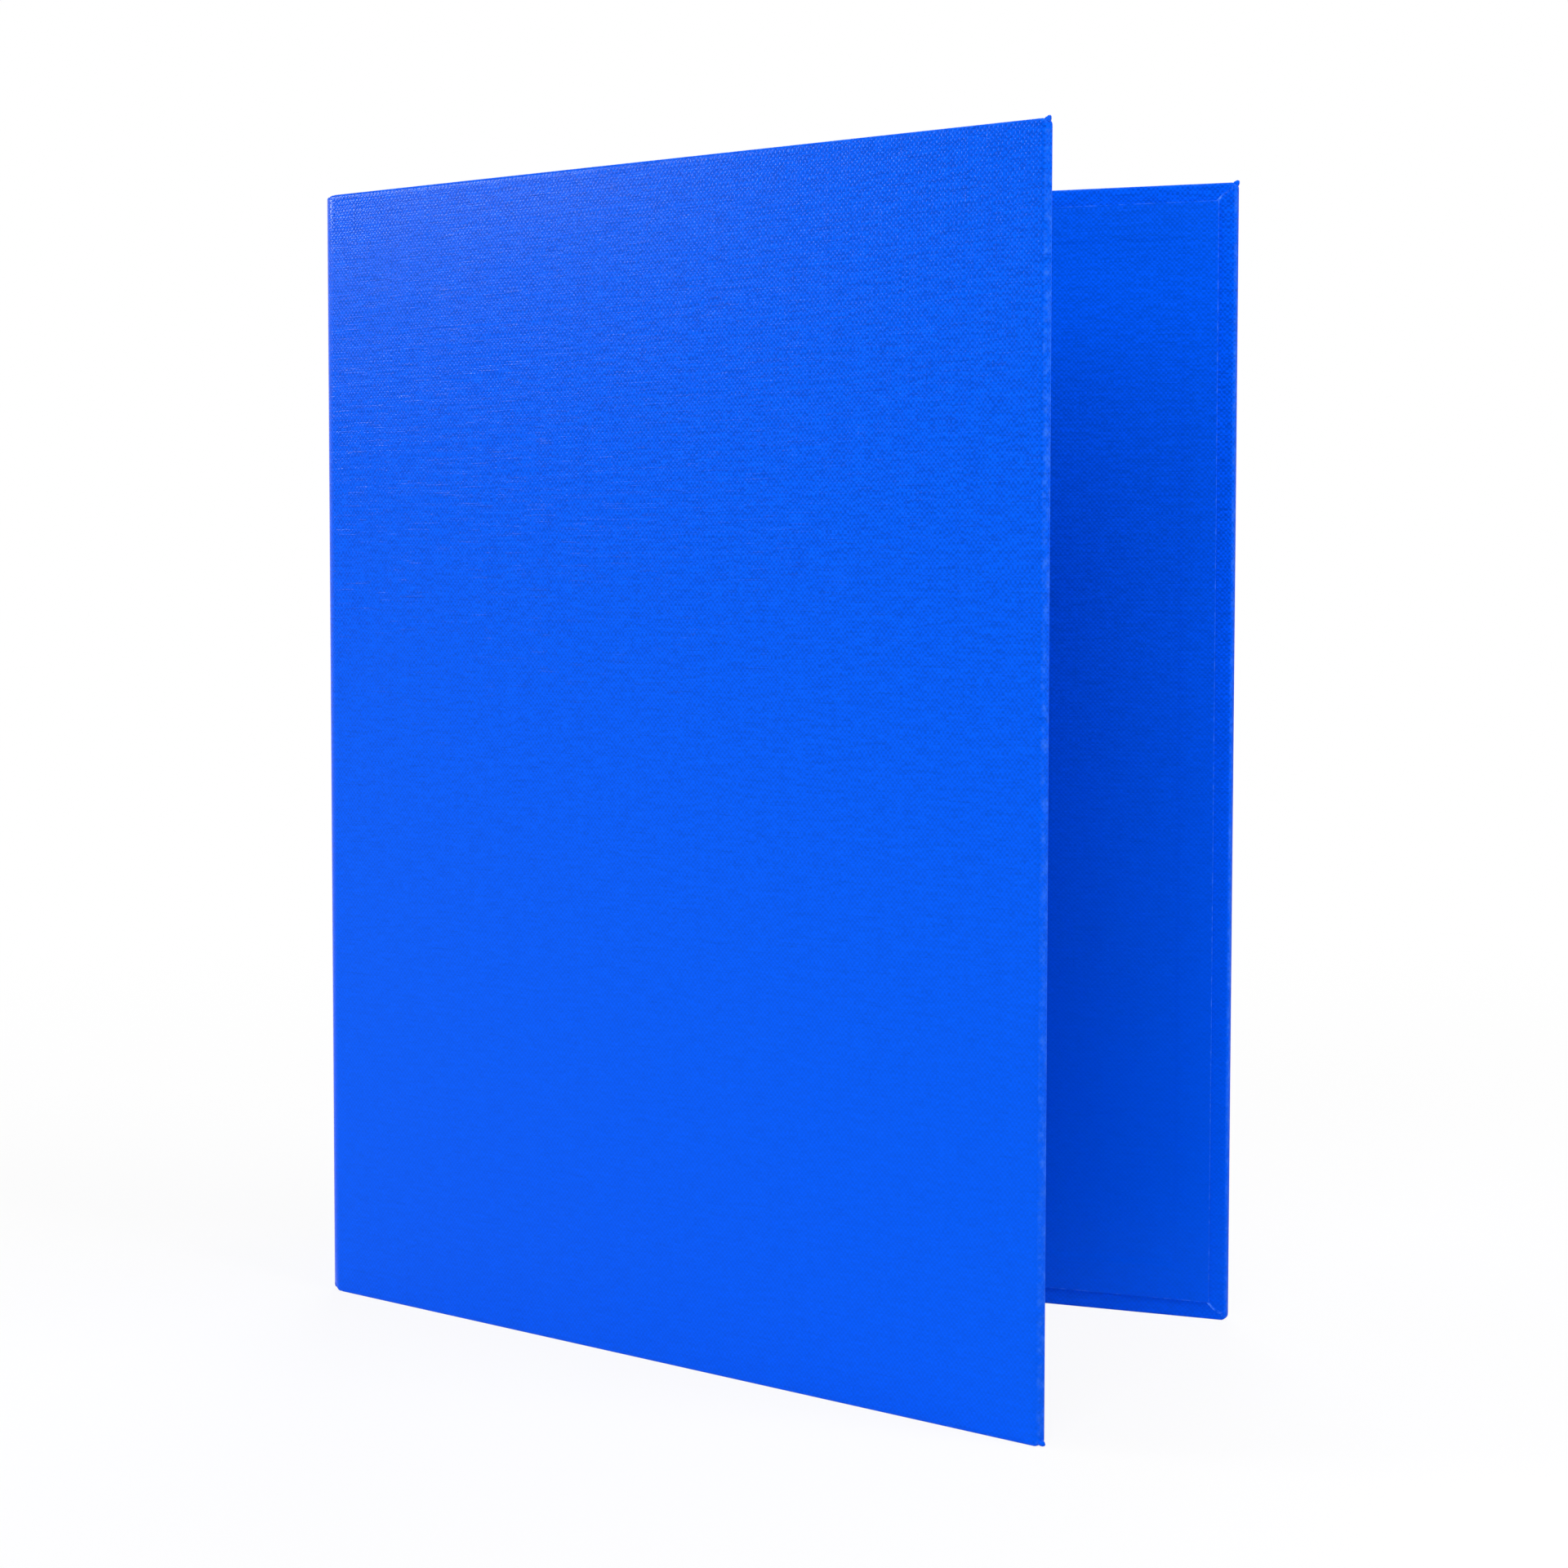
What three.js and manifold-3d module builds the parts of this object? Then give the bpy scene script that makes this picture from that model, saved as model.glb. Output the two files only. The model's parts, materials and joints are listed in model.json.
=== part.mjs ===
// A wide A4 two-ring binder, standing on its foot and partly open, as separate named pieces.
// Millimetres, +Z up. The origin is the middle of the footprint, on the surface it stands on.
// The covers' free edges point along +X, and the front cover is on the -Y side.
import * as THREE from 'three';
import { mergeVertices } from 'three/addons/utils/BufferGeometryUtils.js';
import Module from 'manifold-3d';

const wasm = await Module();
wasm.setup();

// The case: three boards in one covering, which alone bridges the gaps between them
const caseHeight = 318;
const coverWidth = 265; // from a cover's hinge line to its free edge
const spineWidth = 75; // between the two hinge lines
const coveringThickness = 0.35;
const boardThickness = 1.9;
const linerThickness = 0.25;
const glueLine = 0.2; // between two layers
const turnIn = 15; // how far the covering is turned over on to the inside
const linerMargin = 4.8; // width of turned-in covering that the liner leaves in sight
const edgeRadius = 0.7; // where the covering goes round a board's edge
const cornerRadius = 1.6; // of a cover's outline at its free corners
const hingePlay = 0.4; // between two boards when a cover is swung right in
const hingeThickness = 0.6; // covering and liner glued together in the gap
const hingeInset = 0.5; // the strip stays this far above the foot and below the head
const seam = 0.3; // between pieces that meet edge to edge

// How far each cover is swung out from square to the spine, and the furthest in, in degrees
const frontSwing = 29.5;
const backSwing = -11.2;
const furthestIn = -12.4;

// The finger ring, an eyelet through the spine
const fingerHeight = 88; // of the hole's middle above the foot
const fingerHole = 22; // clear diameter
const fingerFlange = 4; // width of the flange round the hole
const fingerFlangeThickness = 0.9;
const fingerBarrel = 0.6; // wall of the tube through the spine
const fingerLip = 1.4; // how far the tube is rolled out over the washer
const fingerWasherThickness = 0.8;

// The label pocket on the spine, and its card
const pocketWidth = 54;
const pocketHeight = 150;
const pocketFoot = 134; // of the pocket above the binder's foot
const pocketFilm = 0.25;
const pocketWeld = 2.5; // width of the welded border on three sides
const cardThickness = 0.25;
const cardPlay = 0.5; // between the card and the welds
const cardShowing = 3; // how far the card stands below the pocket's open head

// The ring mechanism's housing, an arched steel channel on the back cover
const mechanismOffset = 47; // from the back hinge line to the middle of the housing
const housingLength = 160;
const housingHalfWidth = 16;
const housingSheet = 1; // steel thickness
const housingShoulder = 6; // height of its side walls
const housingCrown = 9; // height of its middle
const hemWidth = 2.2; // of the rolled hem that carries a plate
const hemHeight = 3;
const slotPlay = 0.6; // between a ring's wire and its slot in the housing

// The two carrier plates inside, which rock on the housing's hems
const plateThickness = 1;
const plateGap = 0.7; // between the two plates when they lie flat
const plateTilt = 6.5; // from flat, when the rings are shut, in degrees
const runningClearance = 0.3;

// The D rings: a straight post and a bowed half on each
const ringSpacing = 80; // as paper is punched
const ringWire = 4;
const ringFoot = 9; // from the housing's middle to where a half stands on its plate
const ringTop = 52; // of the wire's middle above the housing's foot
const ringBow = 26; // how far the bowed half reaches towards the spine
const postBend = 7;
const bowHeadBend = 21;
const bowFootBend = 9;
const bowKnee = 12; // height where the bowed half leaves the upright
const bowKneeBend = 3;
const bowSlope = 11; // rise from the knee to where the bow is upright
const footPin = 3; // reduced end of the wire, through the plate
const footHead = 4.6;
const footHeadThickness = 0.6;
const tipGap = 0.3; // between the two halves' tips
const tipPin = 2; // on the post's tip, into the bowed half's socket
const tipPinLength = 1.2;

// Rivets and spacers that hold the housing on the back cover
const rivetInset = 20; // from the housing's end to a rivet
const rivetShank = 3.6;
const rivetHead = 9;
const rivetHeadRise = 1.5;
const rivetBack = 10;
const rivetBackRise = 0.9;
const spacerWall = 1.2;
const spacerPlay = 0.35; // between a spacer and the crown above it
const notchPlay = 1; // between a spacer and the plates' notches

// The levers at the ends of the housing
const leverPinInset = 3; // from the housing's end to the lever's pin
const leverPin = 2.4;
const leverPinHead = 4.4;
const leverPinHeadThickness = 0.8;
const leverHub = 5.2;
const leverHalfWidth = 7;
const leverSheet = 1.3;
const leverNeck = 6.5; // from the pin outwards to the bend
const leverRise = 2; // of the bend above the pin
const leverTab = 17; // length of the thumb tab
const leverTabCorner = 3;
const leverLean = 65; // of the tab from the cover's face when the lever is level, in degrees
const jawReach = 8; // from the pin to the end of the jaw
const jawGrip = 1.5; // how far the plates reach into the jaw
const jawSheet = 0.6;
const jawOpening = 2.4;
const jawHalfWidth = 2.4;

// Facets
const wireSides = 12;
const bendSteps = 5;
const roundSides = 24;
const domeSteps = 3;
const arcSegments = 3; // an arc is drawn with twice as many
const crownSegments = 6;
const weldDistance = 1e-4;
const overrun = 1; // how far a cutting tool runs past what it cuts

// Sizes that follow from the ones above
const degree = Math.PI / 180;
const squareAngle = 90; // between the spine and a cover that is swung by nothing
const wrappedThickness = 2 * coveringThickness + boardThickness + 2 * glueLine;
const linerFoot = wrappedThickness + glueLine;
const linerFace = linerFoot + linerThickness;
const boardInset = coveringThickness + glueLine;
const panelStart = linerFace / Math.tan(((squareAngle + furthestIn) / 2) * degree) + hingePlay;
const hingeReach = panelStart - seam; // from a hinge line to where its flexible strip ends
const ringHeight = caseHeight / 2; // of the housing's middle above the foot
const barrelRadius = fingerHole / 2 + fingerBarrel;
const housingInside = housingHalfWidth - housingSheet;
const crownInside = housingCrown - housingSheet;
const plateReach = housingInside - runningClearance - plateThickness / 2;
const plateWidth = plateReach - plateGap / 2;
const pivotHeight = hemHeight + runningClearance + plateThickness / 2;
const plateSlope = Math.tan(plateTilt * degree);
const plateHalfRise = plateThickness / 2 / Math.cos(plateTilt * degree);
const rivetSpacing = housingLength - 2 * rivetInset;
const leverPinPlace = housingLength / 2 - leverPinInset;
const plateLength = 2 * (leverPinPlace - jawReach + jawGrip);
const spacerRadius = rivetShank / 2 + seam + spacerWall;
const edgeLift = plateWidth * Math.sin(plateTilt * degree);
const leverSwing = Math.asin(edgeLift / (jawReach - jawGrip / 2));

const material = (color, roughness, metalness = 0) => {
  return new THREE.MeshStandardMaterial({ color, roughness, metalness });
};
const coveringBlue = () => material(0x0a55ee, 0.45);
const linerBlue = () => material(0x0a50e0, 0.5);
const hingeBlue = () => material(0x0a52e6, 0.5);
const greyBoard = () => material(0x9c968b, 0.9);
const nickel = () => material(0xc9ccd0, 0.25, 1);
const cardWhite = () => material(0xf3f2ee, 0.8);
const clearFilm = () => {
  const film = material(0xeef3f8, 0.15);
  film.transparent = true;
  film.opacity = 0.35;
  return film;
};

// Turns a closed geometry into a solid that can be cut and joined.
function solidOf(geometry) {
  const bare = geometry.clone();
  bare.deleteAttribute('normal');
  bare.deleteAttribute('uv');
  const merged = mergeVertices(bare, weldDistance);
  const vertProperties = new Float32Array(merged.getAttribute('position').array);
  const triVerts = new Uint32Array(merged.getIndex().array);
  return new wasm.Manifold(new wasm.Mesh({ numProp: 3, vertProperties, triVerts }));
}

function geometryOf(solid) {
  const made = solid.getMesh();
  const geometry = new THREE.BufferGeometry();
  geometry.setAttribute('position', new THREE.BufferAttribute(made.vertProperties, 3));
  geometry.setIndex(new THREE.BufferAttribute(made.triVerts, 1));
  geometry.computeVertexNormals();
  return geometry;
}

const joined = (first, ...others) => others.reduce((whole, other) => whole.add(other), first);
const cutBy = (first, ...tools) => tools.reduce((whole, tool) => whole.subtract(tool), first);

function addPiece(parent, name, solid, finish) {
  const mesh = new THREE.Mesh(geometryOf(solid), finish);
  mesh.name = name;
  parent.add(mesh);
  return mesh;
}

// A box between two corners, as a solid.
function block([x0, y0, z0], [x1, y1, z1]) {
  const box = new THREE.BoxGeometry(x1 - x0, y1 - y0, z1 - z0);
  return solidOf(box.translate((x0 + x1) / 2, (y0 + y1) / 2, (z0 + z1) / 2));
}

// Extrusions of an outline between two places on an axis, as geometries.
function alongZ(shape, z0, z1, curveSegments = arcSegments) {
  const options = { depth: z1 - z0, bevelEnabled: false, curveSegments };
  return new THREE.ExtrudeGeometry(shape, options).translate(0, 0, z0);
}

function alongX(shapeYZ, x0, x1) {
  const turn = new THREE.Matrix4().makeBasis(
    new THREE.Vector3(0, 1, 0),
    new THREE.Vector3(0, 0, 1),
    new THREE.Vector3(1, 0, 0),
  );
  return alongZ(shapeYZ, x0, x1).applyMatrix4(turn);
}

function alongY(shapeXZ, y0, y1) {
  const turn = new THREE.Matrix4().makeBasis(
    new THREE.Vector3(1, 0, 0),
    new THREE.Vector3(0, 0, 1),
    new THREE.Vector3(0, -1, 0),
  );
  return alongZ(shapeXZ, -y1, -y0).applyMatrix4(turn);
}

// A rectangle whose four corners have their own radii, going round from the low left one.
function roundedRectangle(x0, y0, x1, y1, [a, b, c, d]) {
  const shape = new THREE.Shape();
  shape.moveTo(x0 + a, y0);
  shape.lineTo(x1 - b, y0);
  if (b > 0) shape.absarc(x1 - b, y0 + b, b, -Math.PI / 2, 0, false);
  shape.lineTo(x1, y1 - c);
  if (c > 0) shape.absarc(x1 - c, y1 - c, c, 0, Math.PI / 2, false);
  shape.lineTo(x0 + d, y1);
  if (d > 0) shape.absarc(x0 + d, y1 - d, d, Math.PI / 2, Math.PI, false);
  shape.lineTo(x0, y0 + a);
  if (a > 0) shape.absarc(x0 + a, y0 + a, a, Math.PI, 1.5 * Math.PI, false);
  return shape;
}

// A round bar along Y between two heights, and one along X.
function barY(radius, x, z, y0, y1) {
  const bar = new THREE.CylinderGeometry(radius, radius, y1 - y0, roundSides);
  return solidOf(bar.translate(x, (y0 + y1) / 2, z));
}

function barX(radius, y, z, x0, x1) {
  const bar = new THREE.CylinderGeometry(radius, radius, x1 - x0, roundSides);
  return solidOf(bar.rotateZ(Math.PI / 2).translate((x0 + x1) / 2, y, z));
}

// A solid of revolution about Y from [radius, height] points, counter-clockwise.
// An outline that starts and ends on the axis is closed by the axis, any other by its first point.
function turned(outline) {
  const points = outline.map(([radius, height]) => new THREE.Vector2(radius, height));
  const onAxis = points[0].x === 0 && points.at(-1).x === 0;
  if (!onAxis) points.push(points[0].clone());
  return solidOf(new THREE.LatheGeometry(points, roundSides));
}

// The points of a low dome from its rim to the axis, for a turned outline.
function dome(radius, foot, rise) {
  const points = [];
  for (let step = 0; step <= domeSteps; step += 1) {
    const turn = (step / domeSteps) * (Math.PI / 2);
    points.push([step === domeSteps ? 0 : radius * Math.cos(turn), foot + rise * Math.sin(turn)]);
  }
  return points;
}

// One panel of the case, in its own frame: x from the hinge line, y from the outside inwards.
// A cover's covering is closed round its free edge; the spine's is open at both sides.
function casePanel(width, isCover) {
  const start = panelStart;
  const end = isCover ? width : width - panelStart;
  const freeEnds = (radius) => (isCover ? [0, radius, radius, 0] : [0, 0, 0, 0]);
  const inset = (depth) => freeEnds(Math.max(0, cornerRadius - depth));
  const allEnds = [edgeRadius, edgeRadius, edgeRadius, edgeRadius];

  const plan = roundedRectangle(start, 0, end, wrappedThickness, freeEnds(edgeRadius));
  const section = roundedRectangle(0, 0, wrappedThickness, caseHeight, allEnds);
  const face = roundedRectangle(start, 0, end, caseHeight, inset(0));
  const outside = solidOf(alongZ(plan, 0, caseHeight))
    .intersect(solidOf(alongX(section, start, end)))
    .intersect(solidOf(alongY(face, 0, wrappedThickness)));

  const hollowFace = roundedRectangle(
    start - overrun,
    coveringThickness,
    isCover ? end - coveringThickness : end + overrun,
    caseHeight - coveringThickness,
    inset(coveringThickness),
  );
  const hollow = alongY(hollowFace, coveringThickness, wrappedThickness - coveringThickness);
  const windowEnd = isCover ? end - turnIn : end + overrun;
  const window = block(
    [start - overrun, wrappedThickness / 2, turnIn],
    [windowEnd, wrappedThickness + overrun, caseHeight - turnIn],
  );
  const covering = cutBy(outside, solidOf(hollow), window);

  const boardEnd = isCover ? end - boardInset : end;
  const boardHead = caseHeight - boardInset;
  const boardFace = roundedRectangle(start, boardInset, boardEnd, boardHead, inset(boardInset));
  const board = solidOf(alongY(boardFace, boardInset, boardInset + boardThickness));

  const linerEnd = isCover ? end - linerMargin : end;
  const liner = block([start, linerFoot, linerMargin], [linerEnd, linerFace, caseHeight - linerMargin]);
  return { covering, board, liner };
}

// The flexible strip over a hinge gap, in its cover's frame, bent to the angle of the case there.
function hingeStrip(swing) {
  const inner = (squareAngle + swing) * degree;
  const radius = hingeReach * Math.tan(inner / 2);
  const near = -Math.PI / 2;
  const far = inner - 1.5 * Math.PI;
  const shape = new THREE.Shape();
  shape.absarc(hingeReach, radius, radius, near, far, true);
  shape.absarc(hingeReach, radius, radius - hingeThickness, far, near, false);
  return solidOf(alongZ(shape, hingeInset, caseHeight - hingeInset));
}

// The spine, in its own frame: x from the back hinge line to the front one, y inwards
function addSpine(group) {
  const { covering, board, liner } = casePanel(spineWidth, false);
  const middle = spineWidth / 2;
  const hole = barY(barrelRadius + seam, middle, fingerHeight, -overrun, linerFace + overrun);
  addPiece(group, 'spine_covering', cutBy(covering, hole), coveringBlue());
  addPiece(group, 'spine_board', cutBy(board, hole), greyBoard());
  addPiece(group, 'spine_liner', cutBy(liner, hole), linerBlue());
  addFingerRing(group, middle);
  addLabelPocket(group, middle);
}

function addFingerRing(group, middle) {
  const clear = fingerHole / 2;
  const flangeRadius = clear + fingerFlange;
  const flangeFoot = -glueLine - fingerFlangeThickness;
  const washerFoot = linerFace + glueLine;
  const washerTop = washerFoot + fingerWasherThickness;
  const lipFoot = washerTop + glueLine;
  const lipTop = lipFoot + fingerBarrel;
  const soft = fingerFlangeThickness / 2;
  const washerSoft = fingerWasherThickness / 2;
  const eyelet = turned([
    [clear, flangeFoot + soft],
    [clear + soft, flangeFoot],
    [flangeRadius - soft, flangeFoot],
    [flangeRadius, flangeFoot + soft],
    [flangeRadius, -glueLine],
    [barrelRadius, -glueLine],
    [barrelRadius, lipFoot],
    [barrelRadius + fingerLip, lipFoot],
    [barrelRadius + fingerLip, lipTop - fingerBarrel / 2],
    [barrelRadius + fingerLip / 2, lipTop],
    [clear + fingerBarrel / 2, lipTop],
    [clear, lipTop - fingerBarrel / 2],
  ]);
  const washer = turned([
    [barrelRadius + seam, washerFoot],
    [flangeRadius, washerFoot],
    [flangeRadius, washerTop - washerSoft],
    [flangeRadius - washerSoft, washerTop],
    [barrelRadius + seam, washerTop],
  ]);
  const outer = addPiece(group, 'finger_ring_eyelet', eyelet, nickel());
  const inner = addPiece(group, 'finger_ring_washer', washer, nickel());
  outer.position.set(middle, 0, fingerHeight);
  inner.position.set(middle, 0, fingerHeight);
}

function addLabelPocket(group, middle) {
  const x0 = middle - pocketWidth / 2;
  const x1 = middle + pocketWidth / 2;
  const head = pocketFoot + pocketHeight;
  const back = -glueLine;
  const cardBack = back - glueLine;
  const cardFront = cardBack - cardThickness;
  const filmBack = cardFront - glueLine;
  const film = block([x0, filmBack - pocketFilm, pocketFoot], [x1, back, head]);
  const space = block(
    [x0 + pocketWeld, filmBack, pocketFoot + pocketWeld],
    [x1 - pocketWeld, overrun, head + overrun],
  );
  const cardInset = pocketWeld + cardPlay;
  const card = block(
    [x0 + cardInset, cardFront, pocketFoot + cardInset],
    [x1 - cardInset, cardBack, head - cardShowing],
  );
  addPiece(group, 'label_pocket', cutBy(film, space), clearFilm());
  addPiece(group, 'label_card', card, cardWhite());
}

// The front cover and, turned end over end, the back one: in each frame y points inwards.
function addFrontCover(group) {
  const { covering, board, liner } = casePanel(coverWidth, true);
  addPiece(group, 'front_covering', covering, coveringBlue());
  addPiece(group, 'front_board', board, greyBoard());
  addPiece(group, 'front_liner', liner, linerBlue());
  addPiece(group, 'front_hinge_strip', hingeStrip(frontSwing), hingeBlue());
}

function addBackCover(group) {
  const { covering, board, liner } = casePanel(coverWidth, true);
  const holes = [-1, 1].map((end) => {
    const z = ringHeight + (end * rivetSpacing) / 2;
    return barY(rivetShank / 2 + seam, mechanismOffset, z, -overrun, linerFace + overrun);
  });
  addPiece(group, 'back_covering', cutBy(covering, ...holes), coveringBlue());
  addPiece(group, 'back_board', cutBy(board, ...holes), greyBoard());
  addPiece(group, 'back_liner', cutBy(liner, ...holes), linerBlue());
  addPiece(group, 'back_hinge_strip', hingeStrip(backSwing), hingeBlue());
}

// The mechanism's frame: x across the housing towards the free edge, y up from the liner,
// z along the housing. The upper pieces are on its -z side, because the back cover is turned over.
const ends = [
  { name: 'upper', side: -1 },
  { name: 'lower', side: 1 },
];

function housingSection() {
  const half = housingHalfWidth;
  const hemStart = half - hemWidth;
  const shoulderInside = housingShoulder - housingSheet;
  const shape = new THREE.Shape();
  shape.moveTo(hemStart, 0);
  shape.lineTo(half, 0);
  shape.lineTo(half, housingShoulder);
  shape.quadraticCurveTo(half / 2, housingCrown, 0, housingCrown);
  shape.quadraticCurveTo(-half / 2, housingCrown, -half, housingShoulder);
  shape.lineTo(-half, 0);
  shape.lineTo(-hemStart, 0);
  shape.lineTo(-hemStart, hemHeight);
  shape.lineTo(-housingInside, hemHeight);
  shape.lineTo(-housingInside, shoulderInside);
  shape.quadraticCurveTo(-housingInside / 2, crownInside, 0, crownInside);
  shape.quadraticCurveTo(housingInside / 2, crownInside, housingInside, shoulderInside);
  shape.lineTo(housingInside, hemHeight);
  shape.lineTo(hemStart, hemHeight);
  return shape;
}

// A slot for one ring half, long enough for its wire to lean outwards with its plate.
function wireSlot(side, z) {
  const fullTurn = 2 * plateTilt * degree;
  const height = housingCrown - pivotHeight;
  const inset = plateReach - ringFoot;
  const travel = height * Math.sin(fullTurn) + inset * (1 - Math.cos(fullTurn));
  const radius = ringWire / 2 + slotPlay;
  const inner = ringFoot - radius;
  const outer = ringFoot + radius + travel;
  const x0 = side > 0 ? inner : -outer;
  const x1 = side > 0 ? outer : -inner;
  const shape = roundedRectangle(x0, z - radius, x1, z + radius, [radius, radius, radius, radius]);
  return solidOf(alongY(shape, hemHeight, housingCrown + overrun));
}

function addHousing(group) {
  const half = housingLength / 2;
  const body = solidOf(alongZ(housingSection(), -half, half, crownSegments));
  const tools = [];
  for (const { side } of ends) {
    const ringPlace = (side * ringSpacing) / 2;
    const rivetPlace = (side * rivetSpacing) / 2;
    const pinPlace = side * leverPinPlace;
    const hemEnd = side * (plateLength / 2 + runningClearance);
    const beyond = side * (half + overrun);
    const pinReach = housingHalfWidth + overrun;
    const pinHole = leverPin / 2 + runningClearance;
    tools.push(wireSlot(1, ringPlace), wireSlot(-1, ringPlace));
    tools.push(barY(rivetShank / 2 + seam, 0, rivetPlace, hemHeight, housingCrown + overrun));
    tools.push(barX(pinHole, pivotHeight, pinPlace, -pinReach, pinReach));
    tools.push(
      block(
        [-housingInside, -overrun, Math.min(hemEnd, beyond)],
        [housingInside, hemHeight + seam, Math.max(hemEnd, beyond)],
      ),
    );
  }
  addPiece(group, 'ring_housing', cutBy(body, ...tools), nickel());
}

// One carrier plate with x from its rocking edge inwards; the other is the same, turned round.
function carrierPlate() {
  const half = plateThickness / 2;
  const shape = new THREE.Shape();
  shape.moveTo(-plateWidth, -half);
  shape.lineTo(0, -half);
  shape.absarc(0, 0, half, -Math.PI / 2, Math.PI / 2, false);
  shape.lineTo(-plateWidth, half);
  const slab = solidOf(alongZ(shape, -plateLength / 2, plateLength / 2));
  const footPlace = -(plateReach - ringFoot) / Math.cos(plateTilt * degree);
  const tools = [];
  for (const { side } of ends) {
    const notchPlace = (side * rivetSpacing) / 2;
    const holePlace = (side * ringSpacing) / 2;
    tools.push(barY(spacerRadius + notchPlay, -plateReach, notchPlace, -overrun, overrun));
    tools.push(barY(footPin / 2 + seam, footPlace, holePlace, -overrun, overrun));
  }
  return cutBy(slab, ...tools);
}

function addCarrierPlates(group) {
  const sides = [
    { name: 'post_carrier_plate', turn: 0 },
    { name: 'bow_carrier_plate', turn: Math.PI },
  ];
  for (const { name, turn } of sides) {
    const bay = new THREE.Group();
    bay.rotation.y = turn;
    const plate = addPiece(bay, name, carrierPlate(), nickel());
    plate.position.set(plateReach, pivotHeight, 0);
    plate.rotation.z = plateTilt * degree;
    group.add(bay);
  }
}

// A path through given points, one step for each, for an extrusion that follows it.
class PointPath extends THREE.Curve {
  constructor(points) {
    super();
    this.points = points;
  }

  getPoint(t, target = new THREE.Vector3()) {
    const place = t * (this.points.length - 1);
    const index = Math.min(Math.floor(place), this.points.length - 2);
    return target.lerpVectors(this.points[index], this.points[index + 1], place - index);
  }

  getUtoTmapping(u) {
    return u;
  }
}

// The points of a wire bent in the x-y plane, from its corners and their bend radii.
function bentPath(corners) {
  const at = ([x, y]) => new THREE.Vector3(x, y, 0);
  const points = [at(corners[0])];
  for (let index = 1; index < corners.length - 1; index += 1) {
    const corner = at(corners[index]);
    const into = corner.clone().sub(at(corners[index - 1])).normalize();
    const out = at(corners[index + 1]).sub(corner).normalize();
    const turn = into.angleTo(out);
    const radius = corners[index][2];
    const start = corner.clone().addScaledVector(into, -radius * Math.tan(turn / 2));
    const towards = out.clone().addScaledVector(into, -Math.cos(turn)).normalize();
    for (let step = 0; step <= bendSteps; step += 1) {
      const angle = (turn * step) / bendSteps;
      const point = start.clone().addScaledVector(into, radius * Math.sin(angle));
      points.push(point.addScaledVector(towards, radius * (1 - Math.cos(angle))));
    }
  }
  points.push(at(corners.at(-1)));
  return points;
}

function bentWire(corners) {
  const points = bentPath(corners);
  const section = new THREE.Shape();
  section.absarc(0, 0, ringWire / 2, 0, 2 * Math.PI, false);
  const options = {
    steps: points.length - 1,
    extrudePath: new PointPath(points),
    curveSegments: wireSides / 2,
  };
  return solidOf(new THREE.ExtrudeGeometry(section, options));
}

// Where a ring half stands on its tilted plate, the pin through it, and the head below it.
const wireFoot =
  pivotHeight - (plateReach - ringFoot - ringWire / 2) * plateSlope + plateHalfRise + runningClearance;
const footHeadTop =
  pivotHeight - (plateReach - ringFoot + footHead / 2) * plateSlope - plateHalfRise - glueLine;

function ringFootPin(x) {
  const pin = barY(footPin / 2, x, 0, footHeadTop - overrun / 2, wireFoot + overrun);
  const head = barY(footHead / 2, x, 0, footHeadTop - footHeadThickness, footHeadTop);
  return pin.subtract(barY(footHead, x, 0, -overrun, footHeadTop - footHeadThickness / 2)).add(head);
}

function ringPost() {
  const bend = Math.min(postBend, ringFoot - tipGap);
  const wire = bentWire([
    [ringFoot, wireFoot],
    [ringFoot, ringTop, bend],
    [tipGap / 2, ringTop],
  ]);
  const tip = barX(tipPin / 2, ringTop, 0, tipGap / 2 - tipPinLength, tipGap / 2 + overrun);
  return joined(wire, ringFootPin(ringFoot), tip);
}

function ringBowedHalf() {
  const wire = bentWire([
    [-ringFoot, wireFoot],
    [-ringFoot, bowKnee, bowKneeBend],
    [-ringBow, bowKnee + bowSlope, bowFootBend],
    [-ringBow, ringTop, bowHeadBend],
    [-tipGap / 2, ringTop],
  ]);
  const socketEnd = -tipPinLength - 2 * tipGap;
  const socket = barX(tipPin / 2 + seam, ringTop, 0, socketEnd, overrun);
  return cutBy(joined(wire, ringFootPin(-ringFoot)), socket);
}

function addRings(group) {
  for (const { name, side } of ends) {
    const post = addPiece(group, `${name}_ring_post`, ringPost(), nickel());
    const bow = addPiece(group, `${name}_ring_bow`, ringBowedHalf(), nickel());
    post.position.z = (side * ringSpacing) / 2;
    bow.position.z = (side * ringSpacing) / 2;
  }
}

// Rivets from the cover's outer face to the crown, each through a spacer tube.
function addFixings(group, outerFace) {
  const crown = housingCrown + glueLine;
  const back = outerFace - glueLine;
  const backDome = dome(rivetBack / 2, -back, rivetBackRise).map(([radius, y]) => [radius, -y]);
  const rivet = turned([
    ...backDome.reverse(),
    [rivetShank / 2, back],
    [rivetShank / 2, crown],
    ...dome(rivetHead / 2, crown, rivetHeadRise),
  ]);
  const spacerInner = rivetShank / 2 + seam;
  const spacerTop = crownInside - spacerPlay;
  const spacer = turned([
    [spacerInner, 0],
    [spacerRadius, 0],
    [spacerRadius, spacerTop],
    [spacerInner, spacerTop],
  ]);
  for (const { name, side } of ends) {
    const rivetPiece = addPiece(group, `${name}_housing_rivet`, rivet, nickel());
    const spacerPiece = addPiece(group, `${name}_rivet_spacer`, spacer, nickel());
    rivetPiece.position.z = (side * rivetSpacing) / 2;
    spacerPiece.position.z = (side * rivetSpacing) / 2;
  }
}

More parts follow.
